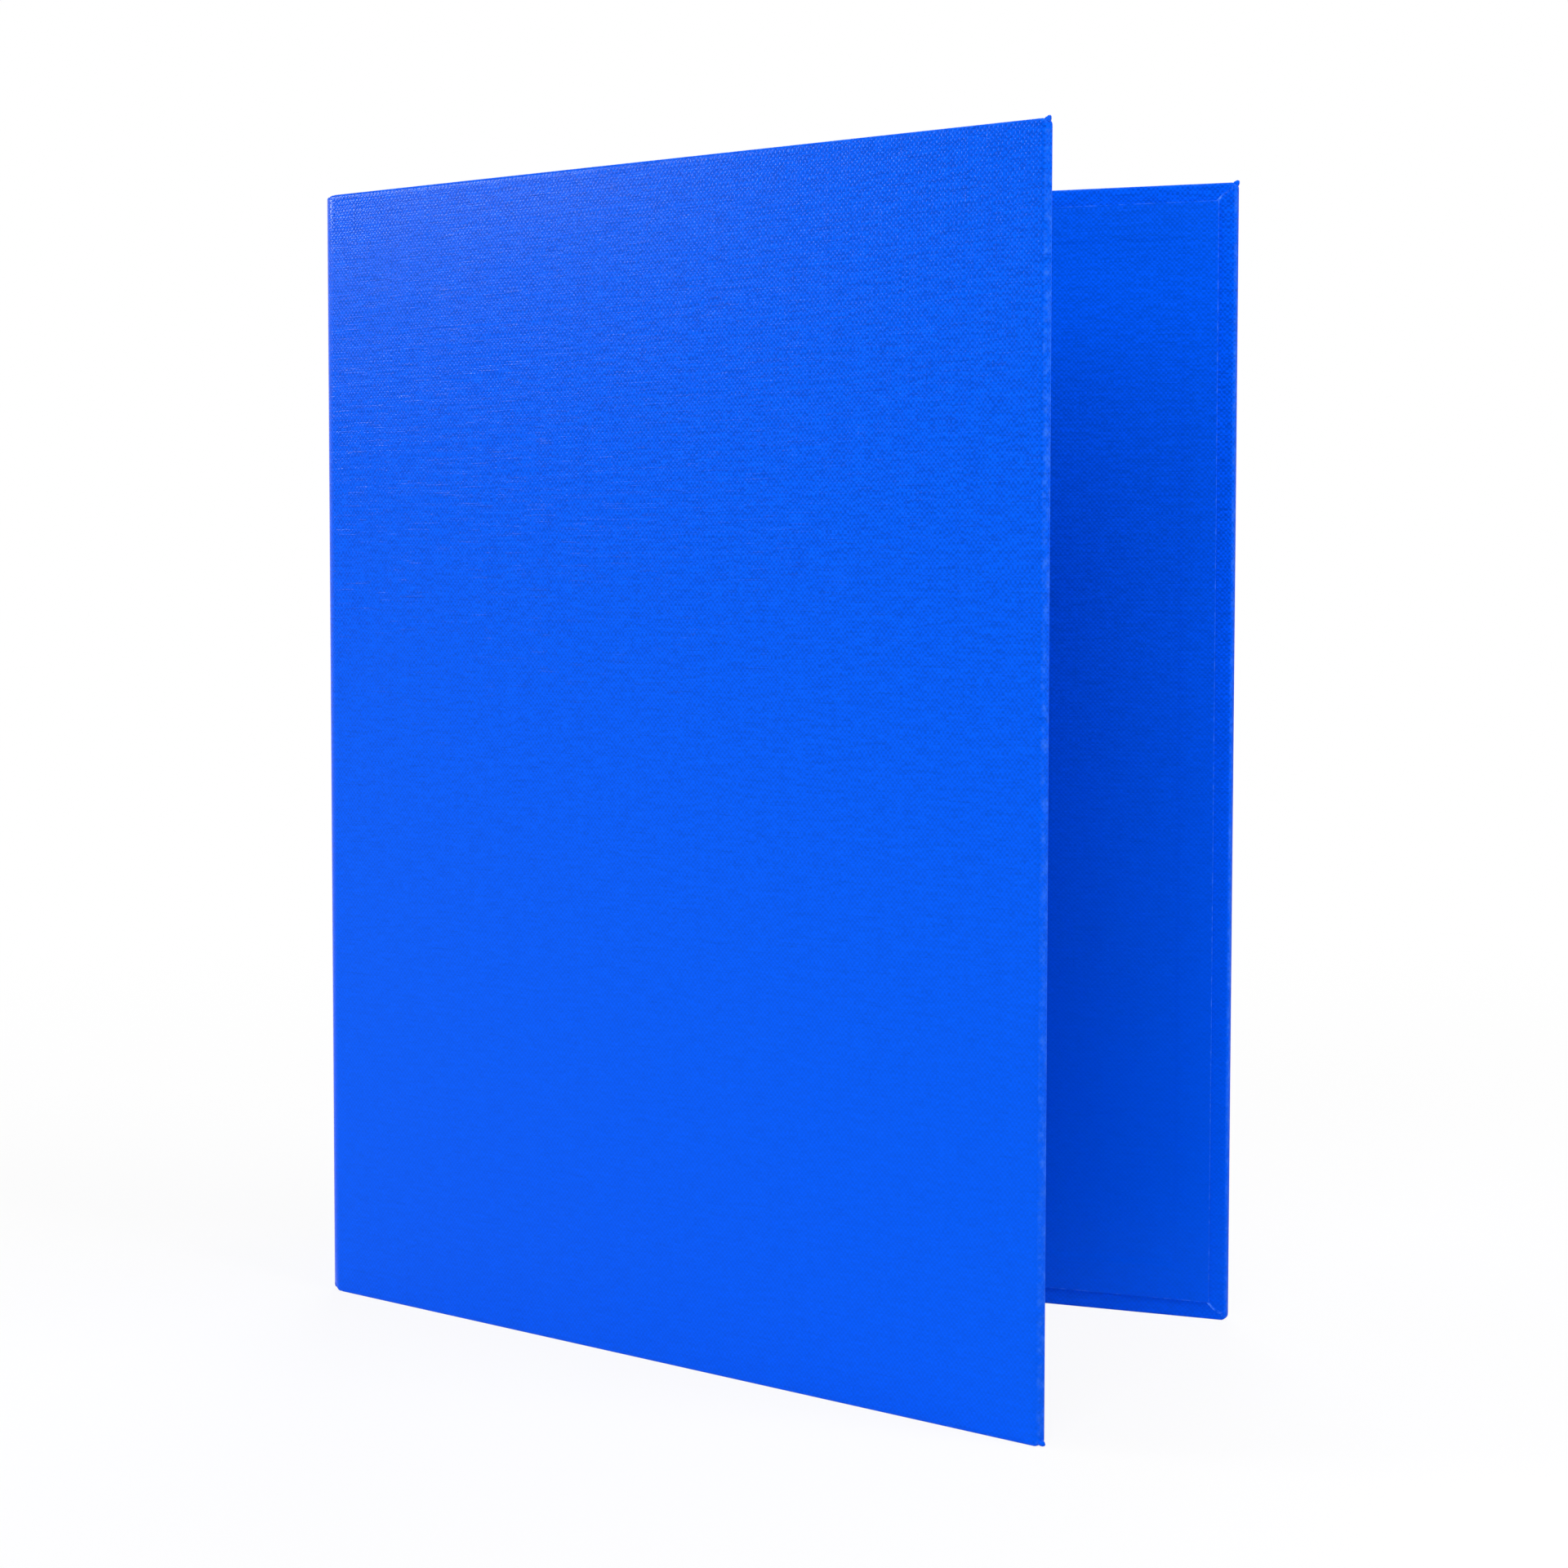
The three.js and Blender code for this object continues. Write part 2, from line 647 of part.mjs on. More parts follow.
// A flat length of lever sheet from the pin's frame, leaning up from z towards y.
function leaningSheet(start, lean, length, corner) {
  const shape = roundedRectangle(-leverHalfWidth, 0, leverHalfWidth, length, [0, 0, corner, corner]);
  const turn = new THREE.Matrix4().makeBasis(
    new THREE.Vector3(1, 0, 0),
    new THREE.Vector3(0, Math.sin(lean), Math.cos(lean)),
    new THREE.Vector3(0, -Math.cos(lean), Math.sin(lean)),
  );
  turn.setPosition(0, start[0], start[1]);
  return solidOf(alongZ(shape, -leverSheet / 2, leverSheet / 2).applyMatrix4(turn));
}

// A lever about its pin, level: the jaw reaches along -z and the thumb tab along +z and up.
function leverSolid() {
  const neckLean = Math.atan2(leverRise, leverNeck);
  const neckLength = Math.hypot(leverRise, leverNeck);
  const half = leverHalfWidth;
  const neck = leaningSheet([0, 0], neckLean, neckLength, 0);
  const bend = barX(leverSheet / 2, leverRise, leverNeck, -half, half);
  const tab = leaningSheet([leverRise, leverNeck], leverLean * degree, leverTab, leverTabCorner);
  const hub = barX(leverHub / 2, 0, 0, -half, half);
  const lips = [-1, 1].map((side) => {
    const near = (side * jawOpening) / 2;
    const far = side * (jawOpening / 2 + jawSheet);
    return block(
      [-jawHalfWidth, Math.min(near, far), -jawReach],
      [jawHalfWidth, Math.max(near, far), -leverPin / 2],
    );
  });
  const bore = barX(leverPin / 2 + runningClearance, 0, 0, -half - overrun, half + overrun);
  return cutBy(joined(hub, neck, bend, tab, ...lips), bore);
}

function leverPinSolid() {
  const wall = housingHalfWidth + glueLine;
  const end = wall + leverPinHeadThickness;
  return joined(
    barX(leverPin / 2, 0, 0, -wall - glueLine, wall + glueLine),
    barX(leverPinHead / 2, 0, 0, wall, end),
    barX(leverPinHead / 2, 0, 0, -end, -wall),
  );
}

function addLevers(group) {
  for (const { name, side } of ends) {
    const seat = new THREE.Group();
    seat.position.set(0, pivotHeight, side * leverPinPlace);
    seat.rotation.y = side > 0 ? 0 : Math.PI;
    const lever = addPiece(seat, `${name}_lever`, leverSolid(), nickel());
    lever.rotation.x = -leverSwing;
    addPiece(seat, `${name}_lever_pin`, leverPinSolid(), nickel());
    group.add(seat);
  }
}

function addMechanism(cover) {
  const mechanism = new THREE.Group();
  const foot = linerFace + glueLine;
  mechanism.position.set(mechanismOffset, foot, ringHeight);
  addHousing(mechanism);
  addCarrierPlates(mechanism);
  addRings(mechanism);
  addFixings(mechanism, -foot);
  addLevers(mechanism);
  cover.add(mechanism);
}

function buildBinder() {
  const spine = new THREE.Group();
  spine.position.y = spineWidth / 2;
  spine.rotation.z = -Math.PI / 2;
  addSpine(spine);

  const front = new THREE.Group();
  front.position.y = -spineWidth / 2;
  front.rotation.z = -frontSwing * degree;
  addFrontCover(front);

  const back = new THREE.Group();
  back.position.set(0, spineWidth / 2, caseHeight);
  back.rotation.set(Math.PI, 0, -backSwing * degree);
  addBackCover(back);
  addMechanism(back);

  const binder = new THREE.Group();
  binder.add(spine, front, back);
  const box = new THREE.Box3().setFromObject(binder, true);
  const middle = box.getCenter(new THREE.Vector3());
  binder.position.set(-middle.x, -middle.y, -box.min.z);
  return binder;
}

export default buildBinder();
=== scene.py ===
# A two-ring binder, dressed for its portrait: foil, liner, clear film and nickelled steel.
# Shapes are drawn in millimetres, in the frame of the panel or the mechanism they belong to.
import json
import math

import bmesh
import bpy
from mathutils import Matrix, Vector


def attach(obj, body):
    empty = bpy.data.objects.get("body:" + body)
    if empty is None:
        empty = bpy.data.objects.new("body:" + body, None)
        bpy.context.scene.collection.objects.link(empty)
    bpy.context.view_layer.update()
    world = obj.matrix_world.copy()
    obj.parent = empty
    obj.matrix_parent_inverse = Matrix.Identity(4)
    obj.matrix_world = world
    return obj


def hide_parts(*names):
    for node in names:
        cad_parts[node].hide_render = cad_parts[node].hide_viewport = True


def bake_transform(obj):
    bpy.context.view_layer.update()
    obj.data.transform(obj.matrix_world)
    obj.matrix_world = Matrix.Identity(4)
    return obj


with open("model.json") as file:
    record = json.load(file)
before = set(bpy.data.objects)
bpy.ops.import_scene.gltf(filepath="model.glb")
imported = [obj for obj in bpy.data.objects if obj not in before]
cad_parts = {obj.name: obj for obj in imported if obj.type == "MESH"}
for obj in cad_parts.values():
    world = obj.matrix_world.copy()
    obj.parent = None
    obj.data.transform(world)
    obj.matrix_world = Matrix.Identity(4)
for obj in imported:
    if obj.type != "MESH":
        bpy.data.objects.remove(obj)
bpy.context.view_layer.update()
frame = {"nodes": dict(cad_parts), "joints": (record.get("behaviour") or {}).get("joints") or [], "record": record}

MM = 0.001

# The case
CASE_HEIGHT = 318.0
COVER_WIDTH = 265.0  # from a cover's hinge line to its free edge
SPINE_WIDTH = 75.0  # between the two hinge lines
PANEL_START = 4.69  # from a hinge line to where its board begins
WRAPPED = 3.0  # a board with its covering
LINER_FACE = 3.45  # the liner's surface, from the covering's outer face
LINER_SHEET = 0.25
FOIL_SHEET = 0.3
GLUE_LINE = 0.2
TURN_IN = 15.0  # how far the covering is turned over on to the inside
LINER_MARGIN = 4.8  # turned-in covering that the liner leaves in sight
CUT_EDGE = 0.35  # width of the lighter line along a cut edge of foil: the foil's pale core, with a painted highlight
LINER_DIP = 0.14  # how far the liner sinks past the turned-in covering's edge
LINER_STEP = 1.6  # length over which it sinks
LINER_STEP_LINES = (-0.9, -0.3, 0.3, 0.9)  # rows of points round that step
LINER_STEP_CLEAR = 1.2  # how far the other rows keep from it
EDGE_RADIUS = 0.7
CORNER_RADIUS = 1.6
EDGE_STEPS = 5
CORNER_STEPS = 8
PANEL_STEPS = 30
LINER_STEPS = 34
HOLE_STEPS = 8  # rows and columns over the square round the finger hole

# The turned-in flaps: rows from the rim inwards, and how far the last one dips under the liner
FLAP_END = TURN_IN - 0.2
COVER_FLAP = (CORNER_RADIUS, 2.6, 3.6, LINER_MARGIN, 7.0, 11.0, FLAP_END, TURN_IN)
SPINE_FLAP = (3.0, LINER_MARGIN, 9.0, FLAP_END, TURN_IN)
FLAP_DIP = 0.2
FLAP_LIFT = 0.01  # how far the free edge's flap lies over the other two

# Where the covering rolls off a board's end into the hinge, and the flexible fold there
ROLL = 0.9  # how far the roll runs past the board's end
ROLL_STEPS = 5
ROLL_DROP = 0.12  # how far the edge has dropped at the end of the roll
FOLD_EDGE = 0.9  # thickness of the fold along the head and the foot
FOLD_SHEET = 0.6  # thickness of the fold elsewhere
FOLD_BARE = (0.6, 0.4)  # where it starts and ends thinning, short of the liner's edge and past it
LINER_ROOT = FOLD_SHEET + 0.06  # the liner's surface where it runs into the fold
FOLD_REACH = PANEL_START - ROLL
FOLD_DIPS = (1.8, 0.9)  # how far its edge is drawn in, at the foot and at the head
FOLD_DIP_RUN = 26.0  # length of fold that the dip spreads over
FOLD_DIP_POWER = 3  # how closely the dip keeps to the middle of the fold
FOLD_STEPS = 14

# The mitred corners of the turned-in covering
MITRE_OVERLAP = 0.8
MITRE_LIFT = 0.17
MITRE_RAMP = 3.5
MITRE_CORE_AND_HIGHLIGHT = 7.0  # how much more its cut edge is lightened than a board's rubbed edge: the foil's pale core, with a painted highlight
MITRE_RUN = 2.0  # from the corner to where the overlap is full

# The tucks, small folds of covering left standing at the covers' free corners
TUCK_WIDTH = 2.3
TUCK_RISE = 2.15
TUCK_START = 0.25  # depths of its ends, from the cover's outer face
TUCK_END = WRAPPED - 0.2
TUCK_ROOT = CORNER_RADIUS * 0.45  # its root's distance from the corner's centre
TUCK_NARROWEST = 0.45  # shares of its width, at its ends and at its tip
TUCK_TIP = 0.3
TUCK_SWELL = 0.6  # power that rounds its outline
TUCK_BEND = 3.2  # distance from the corner's centre at which its width is measured
TUCK_LEAN = 0.35  # radians of turn round the corner for a lean of 1
TUCK_TWIST = 0.5  # change of lean from one face of the cover to the other
TUCK_WEAR = 0.3
TUCK_ROWS = 12
TUCK_SIDES = 14

# The finger ring
FINGER_HEIGHT = 88.0
FINGER_HOLE = 22.0
FINGER_FLANGE = 4.0
FINGER_FLANGE_SHEET = 0.9
FINGER_BARREL = 0.6
FINGER_LIP = 1.4
FINGER_WASHER = 0.8
FINGER_SEAM = 0.3
FINGER_MOUTH = 0.9  # radius of the eyelet's rounded mouth, outside
FINGER_ROLL = 1.1  # and of its rolled lip, inside
FINGER_LIP_SOFT = 0.35
FINGER_WASHER_SHY = 0.1  # how far the washer's underside stops short of its rim
FINGER_PATCH = 17.0  # half of the square of sheet that is drawn round the hole
SHEET_HOLE = FINGER_HOLE / 2 + FINGER_BARREL + FINGER_SEAM

# The label pocket and its card
POCKET_WIDTH = 54.0
POCKET_HEIGHT = 150.0
POCKET_FOOT = 134.0
POCKET_FILM = 0.25
POCKET_WELD = 2.5
POCKET_RAMP = 1.5  # from the weld to where the film stands clear
POCKET_SWELL = 0.65  # height of the film over the card
POCKET_NOTCH = 9.0  # half width of the thumb notch in the open head
POCKET_NOTCH_DEPTH = 0.75  # as a share of that
POCKET_NOTCH_RUN = 40.0  # how far down the film's points give way to the notch
POCKET_NOTCH_STEPS = 24
WELD_PITCH = 0.8
CARD_SHEET = 0.25
CARD_PLAY = 0.5
CARD_SHOWING = 3.0
CARD_CORNER = 1.5

# The ring mechanism's housing
MECHANISM_OFFSET = 47.0
HOUSING_LENGTH = 160.0
HOUSING_HALF = 16.0
HOUSING_SHEET = 1.0
HOUSING_SHOULDER = 6.0
HOUSING_CROWN = 9.0
HOUSING_SOFT = 0.18  # width of its broken rims
SHOULDER_SOFT = 1.1
HEM_WIDTH = 2.2
HEM_HEIGHT = 3.0
HEM_END = 6.7  # from the housing's end to where its hems begin
HEM_SOFT = 0.5
HEM_LIP_SOFT = 0.4
HEM_PLAY = 0.3  # how far past the hem's height it is cut away at the ends
SLOT_PLAY = 0.6
SLOT_TRAVEL = 1.35  # how far a wire moves outwards in its slot
SLOT_STEPS = 12
TOOL_PAST = 1.0  # how far the cutting tool runs past the steel
TOOL_SOFT = 0.05

# The rings
RING_SPACING = 80.0
RING_WIRE = 4.0
RING_FOOT = 9.0
RING_TOP = 52.0
RING_BOW = 26.0
POST_BEND = 7.0
BOW_HEAD_BEND = 21.0
BOW_FOOT_BEND = 9.0
BOW_KNEE = 12.0
BOW_KNEE_BEND = 3.0
BOW_SLOPE = 11.0
TIP_GAP = 0.3
TIP_PIN = 2.0
TIP_PIN_LENGTH = 1.2
TIP_SOFT = 0.3
TIP_ROUND = (0.15, 0.05)  # half way round the tip's soft rim: past the wire's end, off its radius
TIP_PIN_SOFT = 0.1  # length of the chamfer at the pin's end
FOOT_SHOULDER = 0.3  # from the carrier plate to the wire's full thickness
FOOT_SOFT = 0.25
FOOT_HEAD_SOFT = (0.1, 0.2, 0.3)  # under the head, down from its top and in from its rim
FOOT_PIN = 3.0
FOOT_HEAD = 4.6
FOOT_HEAD_SHEET = 0.6
PLATE_SHEET = 1.0
PLATE_TILT = math.radians(6.5)
PLATE_REACH = 14.2
PIVOT_HEIGHT = 3.8

# Rivets
RIVET_INSET = 20.0
RIVET_SHANK = 3.6
RIVET_HEAD = 9.0
RIVET_HEAD_RISE = 1.5
RIVET_BACK = 10.0
RIVET_BACK_RISE = 0.9
DOME_LIP = 0.25
DOME_STEPS = 8

# The levers
LEVER_PIN_INSET = 3.0
LEVER_PIN = 2.4
LEVER_PIN_HEAD = 4.4
LEVER_PIN_HEAD_SHEET = 0.8
LEVER_HUB = 5.2
LEVER_HALF = 7.0
LEVER_SHEET = 1.3
LEVER_NECK = 6.5
LEVER_RISE = 2.0
LEVER_TAB = 17.0
LEVER_TAB_CORNER = 3.0
LEVER_LEAN = math.radians(65)
LEVER_SWING = math.radians(12.489)
LEVER_BEND = 2.4  # radius of the bend between neck and tab
LEVER_ROOT = (LEVER_HUB / 2 - 0.8, 0.55)  # where the strip starts, inside the hub
LEVER_GRAIN = 0.9  # length of its steps along the strip
LEVER_LIP = 0.6  # length over which the tab's edge would thin to nothing
LEVER_LIP_SHARE = 0.35  # share of its thickness that is left at the very edge
LEVER_PLAY = 0.3  # between the hub and its pin
HUB_SOFT = 0.25
LEVER_PIN_SOFT = 0.5
JAW_REACH = 8.0
JAW_SHEET = 0.6
JAW_OPENING = 2.4
JAW_HALF = 2.4
JAW_START = 0.5  # from the pin to the jaw's lips
JAW_SOFT = 0.12
STRIP_SOFT = 0.3  # roundness of a strip's edges

# Roundness
ROUND_SIDES = 48
WIRE_SIDES = 24
BEND_STEPS = 14
ARC_STEPS = 6
CROWN_STEPS = 20
SHARP_ANGLE = math.radians(38)

# Colours, as linear light
FOIL_BLUE = (0.0002, 0.0945, 0.83)
LINER_BLUE = (0.0004, 0.094, 0.77)
# Paler blue of rubbed edges, and of cut edges, where it is their pale core with a painted highlight
RUBBED_AND_HIGHLIT_BLUE = (0.07, 0.26, 0.96)
SHEEN_BLUE = (0.45, 0.7, 1.0, 1.0)
DUST = (0.75, 0.8, 0.85)
NICKEL = (0.62, 0.61, 0.59)
GREY_BOARD = (0.33, 0.3, 0.25)
GREY_BOARD_DARK = (0.22, 0.2, 0.17)
CARD_WHITE = (0.86, 0.85, 0.81)
CARD_SHADE = (0.78, 0.77, 0.72)
FILM_TINT = (0.9, 0.94, 0.97, 1.0)
FLOOR_GREY = (0.86, 0.86, 0.86, 1.0)
WHITE = (1.0, 1.0, 1.0, 1.0)

# Finishes
WEAVE_PITCH = 0.72  # of the linen's threads, in millimetres
THREAD_WAVER = 1.4  # how far a thread wanders, in millimetres
WEAVE_FADE = (60.0, 260.0)  # heights between which the embossing, and the weave's tone with it, grow from faint to full; on the tone this is painted light and shade, stronger towards the head
FAINTEST_WEAVE = 0.3
FOIL_GLOSS = (0.155, 0.17)
EDGE_MATTING = 0.4
NICKEL_GLOSS = (0.13, 0.27)
SMUDGED = 0.88  # a smudge's share of the plating's brightness
FILM_ALPHA = (0.16, 0.34)  # clear, and at the welds
SPECK_SCALE = 0.022  # cells to a millimetre, each with one speck at most
SPECK_SIZES = (0.0045, 0.0085)  # shares of a cell at which a speck is still full and has gone
SPECKLESS = 0.82  # share of the cells that have no speck

# The camera, fitted to the corners of both covers in the photograph
CAMERA_PLACE = Vector((0.23392, -0.92053, 0.21416))
CAMERA_YAW = math.radians(13.4626)
CAMERA_PITCH = math.radians(-3.714)
CAMERA_ROLL = math.radians(0.0814)
CAMERA_LENS = 79.74
CAMERA_SENSOR = 36.0

# The stage and the lamps: place, target, size and power
FLOOR_HALF = 8.0
FLOOR_FADE = (0.2, 1.1)  # distances between which the floor turns wholly white to the eye
FLOOR_WHITE = 0.88  # how white it looks close by
WORLD_LIGHT = 0.22
LAMPS = {
    "key": ((0.15, -2.4, 1.4), (0, 0, 0.16), (1.2, 1.0), 28.0),
    "overhead": ((0.3, -0.6, 2.4), (0.05, -0.1, 0), (1.8, 1.8), 6.0),
    "inside": ((0.6, -0.3, 0.95), (0.08, 0.05, 0.25), (0.4, 0.4), 6.0),
    "left haze": ((-2.6, -0.1, 0.83), (-0.1, 0, 0.28), (1.3, 0.4), 38.0),
    "behind": ((-0.4, 2.4, 1.5), (0, 0, 0.16), (1.2, 1.0), 30.0),
}


# Frames

def local_frame(origin, along, inward):
    """Millimetres in a piece's own right-handed frame to metres in the shared one."""
    basis = Matrix((along, inward, along.cross(inward))).transposed().to_4x4()
    return Matrix.Translation(origin) @ basis @ Matrix.Scale(MM, 4)


def named(rows, name):
    return next(row for row in rows if row["name"] == name)


def hinge_place(name, height):
    place = named(frame["joints"], name)["pos_m"]
    return Vector((place[0], place[1], height))


def mount_axis(name):
    return Vector(named(frame["record"]["mounts"], name)["axis"]).normalized()


UP = Vector((0, 0, 1))
OUTSIDE = (0, -1, 0)
INSIDE = (0, 1, 0)
front_inward = -mount_axis("front_panel")
back_inward = mount_axis("ring_posts")
spine_along = (hinge_place("front_hinge", 0) - hinge_place("back_hinge", 0)).normalized()

# In each frame x runs from the hinge line, y from the outer face inwards and z along the case.
# The back cover is the front one turned end over end, so its z runs down from the head.
SPINE = local_frame(hinge_place("back_hinge", 0), spine_along, UP.cross(spine_along))
FRONT = local_frame(hinge_place("front_hinge", 0), front_inward.cross(UP), front_inward)
BACK = local_frame(hinge_place("back_hinge", CASE_HEIGHT * MM), UP.cross(back_inward), back_inward)
MECHANISM = BACK @ Matrix.Translation((MECHANISM_OFFSET, LINER_FACE + GLUE_LINE, CASE_HEIGHT / 2))


# Where a point of each panel lies on the covering before it was folded, in millimetres
def spine_sheet(x, z):
    return x, z


def front_sheet(x, z):
    return SPINE_WIDTH + x, z


def back_sheet(x, z):
    return -x, CASE_HEIGHT - z


# Drawing meshes

def put_in_scene(name, data):
    obj = bpy.data.objects.new(name, data)
    bpy.context.scene.collection.objects.link(obj)
    return obj


class Draft:
    """One piece being drawn: points in its own frame, faces, and where each lies on its sheet."""

    def __init__(self, place):
        self.place = place
        self.points = []
        self.sheet = []
        self.faces = []

    def point(self, where, sheet=(0, 0), edge=0.0):
        self.points.append(self.place @ Vector(where))
        self.sheet.append((sheet[0], sheet[1], edge))
        return len(self.points) - 1

    def face(self, corners):
        kept = [corner for index, corner in enumerate(corners) if corner != corners[index - 1]]
        if len(kept) > 2:
            self.faces.append(kept)

    def band(self, low, high, closed=False):
        """Faces between two rows of points; a row of one point closes to it."""
        count = max(len(low), len(high))
        for index in range(count if closed else count - 1):
            after = (index + 1) % count
            a, b = low[index % len(low)], low[after % len(low)]
            c, d = high[after % len(high)], high[index % len(high)]
            self.face([a, b, c, d])

    def bands(self, rows, closed=False):
        for low, high in zip(rows, rows[1:]):
            self.band(low, high, closed)

    def tube(self, rows):
        """Faces between closed rows of points, and one over each end."""
        self.bands(rows, closed=True)
        self.face(rows[0])
        self.face(rows[-1])

    def mesh(self, name, outward=None):
        """The mesh, with its faces turned out; an open sheet's first face looks along outward."""
        mesh = bpy.data.meshes.new(name)
        mesh.from_pydata([tuple(point) for point in self.points], [], self.faces)
        sheet = mesh.attributes.new("sheet", "FLOAT_VECTOR", "POINT")
        sheet.data.foreach_set("vector", [value for row in self.sheet for value in row])
        work = bmesh.new()
        work.from_mesh(mesh)
        bmesh.ops.recalc_face_normals(work, faces=work.faces)
        if outward is not None:
            work.faces.ensure_lookup_table()
            if work.faces[0].normal.dot(self.place.to_3x3() @ Vector(outward)) < 0:
                bmesh.ops.reverse_faces(work, faces=work.faces)
        work.to_mesh(mesh)
        work.free()
        return mesh

    def piece(self, name, slot, material, replaced=(), outward=None, thicken=0.0):
        obj = put_in_scene(name, self.mesh(name, outward))
        if thicken:
            shell = obj.modifiers.new("thickness", "SOLIDIFY")
            shell.thickness = thicken * MM
            shell.offset = -1
            settle(obj)
        soften_shading(obj.data)
        obj.data.materials.append(material)
        if replaced:
            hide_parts(*replaced)
        return obj


def settle(obj):
    """Applies an object's modifiers, so that its mesh is final."""
    seen = obj.evaluated_get(bpy.context.evaluated_depsgraph_get())
    final = bpy.data.meshes.new_from_object(seen)
    obj.modifiers.clear()
    obj.data = final


def soften_shading(mesh):
    work = bmesh.new()
    work.from_mesh(mesh)
    for face in work.faces:
        face.smooth = True
    for edge in work.edges:
        edge.smooth = len(edge.link_faces) == 2 and edge.calc_face_angle() < SHARP_ANGLE
    work.to_mesh(mesh)
    work.free()


def spread(start, end, count):
    return [start + (end - start) * index / count for index in range(count + 1)]


def ease(value):
    value = min(1.0, max(0.0, value))
    return value * value * (3 - 2 * value)


def arc_points(centre, radius, start, end, steps=ARC_STEPS):
    turns = [math.radians(turn) for turn in spread(start, end, steps)]
    return [(centre[0] + radius * math.cos(turn), centre[1] + radius * math.sin(turn)) for turn in turns]


# The covering and the liner

def edge_profile(thickness):
    """Round a board's edge: distance in from the outline, depth, unrolled length and edge mark."""
    radius = min(EDGE_RADIUS, thickness / 2)
    quarter = radius * math.pi / 2
    flat = thickness - 2 * radius
    turns = [math.pi / 2 * step / EDGE_STEPS for step in range(EDGE_STEPS + 1)]
    profile = []
    for turn in turns:
        mark = min(1.0, turn / (math.pi / 4))
        inset, depth = radius * (1 - math.sin(turn)), radius * (1 - math.cos(turn))
        profile.append((inset, depth, radius * turn, mark))
    for turn in turns:
        mark = min(1.0, (math.pi / 2 - turn) / (math.pi / 4))
        inset, depth = radius * (1 - math.cos(turn)), thickness - radius * (1 - math.sin(turn))
        profile.append((inset, depth, quarter + flat + radius * turn, mark))
    return profile


def past_edge(depth):
    """Length of sheet from the outline, round a board's edge, to a depth inside."""
    return edge_profile(WRAPPED)[-1][2] + depth - 2 * EDGE_RADIUS


def roll_off(beyond):
    """Thickness left and drop of the edge at a distance past a board's end."""
    share = min(1.0, max(0.0, beyond / ROLL))
    return FOLD_EDGE + (WRAPPED - FOLD_EDGE) * math.sqrt(1 - share * share), ROLL_DROP * share * share


def beyond_board(x, is_cover):
    past_far_end = 0 if is_cover else x - (SPINE_WIDTH - PANEL_START)
    return max(PANEL_START - x, past_far_end)


def round_the_hole(start, middle, end, near_count, far_count):
    """Places from start to end with a finer stretch round the finger hole."""
    near, far = middle - FINGER_PATCH, middle + FINGER_PATCH
    inner = spread(near, far, HOLE_STEPS)
    return spread(start, near, near_count)[:-1] + inner + spread(far, end, far_count)[1:]


def panel_columns(is_cover):
    """Where the columns of a panel's sheet stand, finer in the roll beside a hinge."""
    turns = [math.pi / 2 * (1 - step / ROLL_STEPS) for step in range(ROLL_STEPS)]
    roll = [PANEL_START - ROLL * math.sin(turn) for turn in turns]
    if is_cover:
        return roll + spread(PANEL_START, COVER_WIDTH - CORNER_RADIUS, PANEL_STEPS)
    flat = round_the_hole(PANEL_START, SPINE_WIDTH / 2, SPINE_WIDTH - PANEL_START, 3, 3)
    return roll + flat + [SPINE_WIDTH - x for x in reversed(roll)]


def spine_rows(start, end):
    return round_the_hole(start, FINGER_HEIGHT, end, 8, 16)


def nought(x, z):
    return 0.0


def sheet_grid(draft, columns, rows, height, sheet, has_hole=False, mark=nought):
    """A sheet of points over a panel, with a round hole for the finger ring where it has one."""
    grid = [[draft.point((x, height(x, z), z), sheet(x, z), mark(x, z)) for z in rows] for x in columns]
    centre = (SPINE_WIDTH / 2, FINGER_HEIGHT)

    def in_patch(index, start, line):
        return has_hole and abs((line[index] + line[index + 1]) / 2 - start) < FINGER_PATCH

    rim = set()
    for i in range(len(columns) - 1):
        for j in range(len(rows) - 1):
            corners = [(i, j), (i + 1, j), (i + 1, j + 1), (i, j + 1)]
            if in_patch(i, centre[0], columns) and in_patch(j, centre[1], rows):
                rim.update(corners)
            else:
                draft.face([grid[column][row] for column, row in corners])
    if not has_hole:
        return grid
    outside = []
    for i, j in rim:
        across, along = columns[i] - centre[0], rows[j] - centre[1]
        if max(abs(across), abs(along)) > FINGER_PATCH - 0.01:
            outside.append((math.atan2(along, across), grid[i][j]))
    outside.sort()
    rings = []
    for share in (0.0, 0.5):
        ring = []
        for turn, _ in outside:
            square = FINGER_PATCH / max(abs(math.cos(turn)), abs(math.sin(turn)))
            radius = SHEET_HOLE + (square - SHEET_HOLE) * share
            x, z = centre[0] + radius * math.cos(turn), centre[1] + radius * math.sin(turn)
            ring.append(draft.point((x, height(x, z), z), sheet(x, z)))
        rings.append(ring)
    rings.append([index for _, index in outside])
    draft.bands(rings, closed=True)
    return grid


def edge_stations(grid, columns, is_cover, is_head):
    """Along a panel's head or foot: place, outward direction, thickness and the grid's point."""
    stations = []
    for x, column in zip(columns, grid):
        thickness, drop = roll_off(beyond_board(x, is_cover))
        if is_head:
            stations.append((x, CASE_HEIGHT - drop, 0.0, 1.0, thickness, column[-1]))
        else:
            stations.append((x, drop, 0.0, -1.0, thickness, column[0]))
    return stations


def corner_stations(is_head, first):
    stations = []
    for step in range(1, CORNER_STEPS):
        turn = math.pi / 2 * step / CORNER_STEPS
        across, along = (math.cos(turn), math.sin(turn)) if is_head else (math.sin(turn), -math.cos(turn))
        centre = CASE_HEIGHT - CORNER_RADIUS if is_head else CORNER_RADIUS
        x, z = COVER_WIDTH - CORNER_RADIUS + CORNER_RADIUS * across, centre + CORNER_RADIUS * along
        stations.append((x, z, across, along, WRAPPED, first))
    return stations


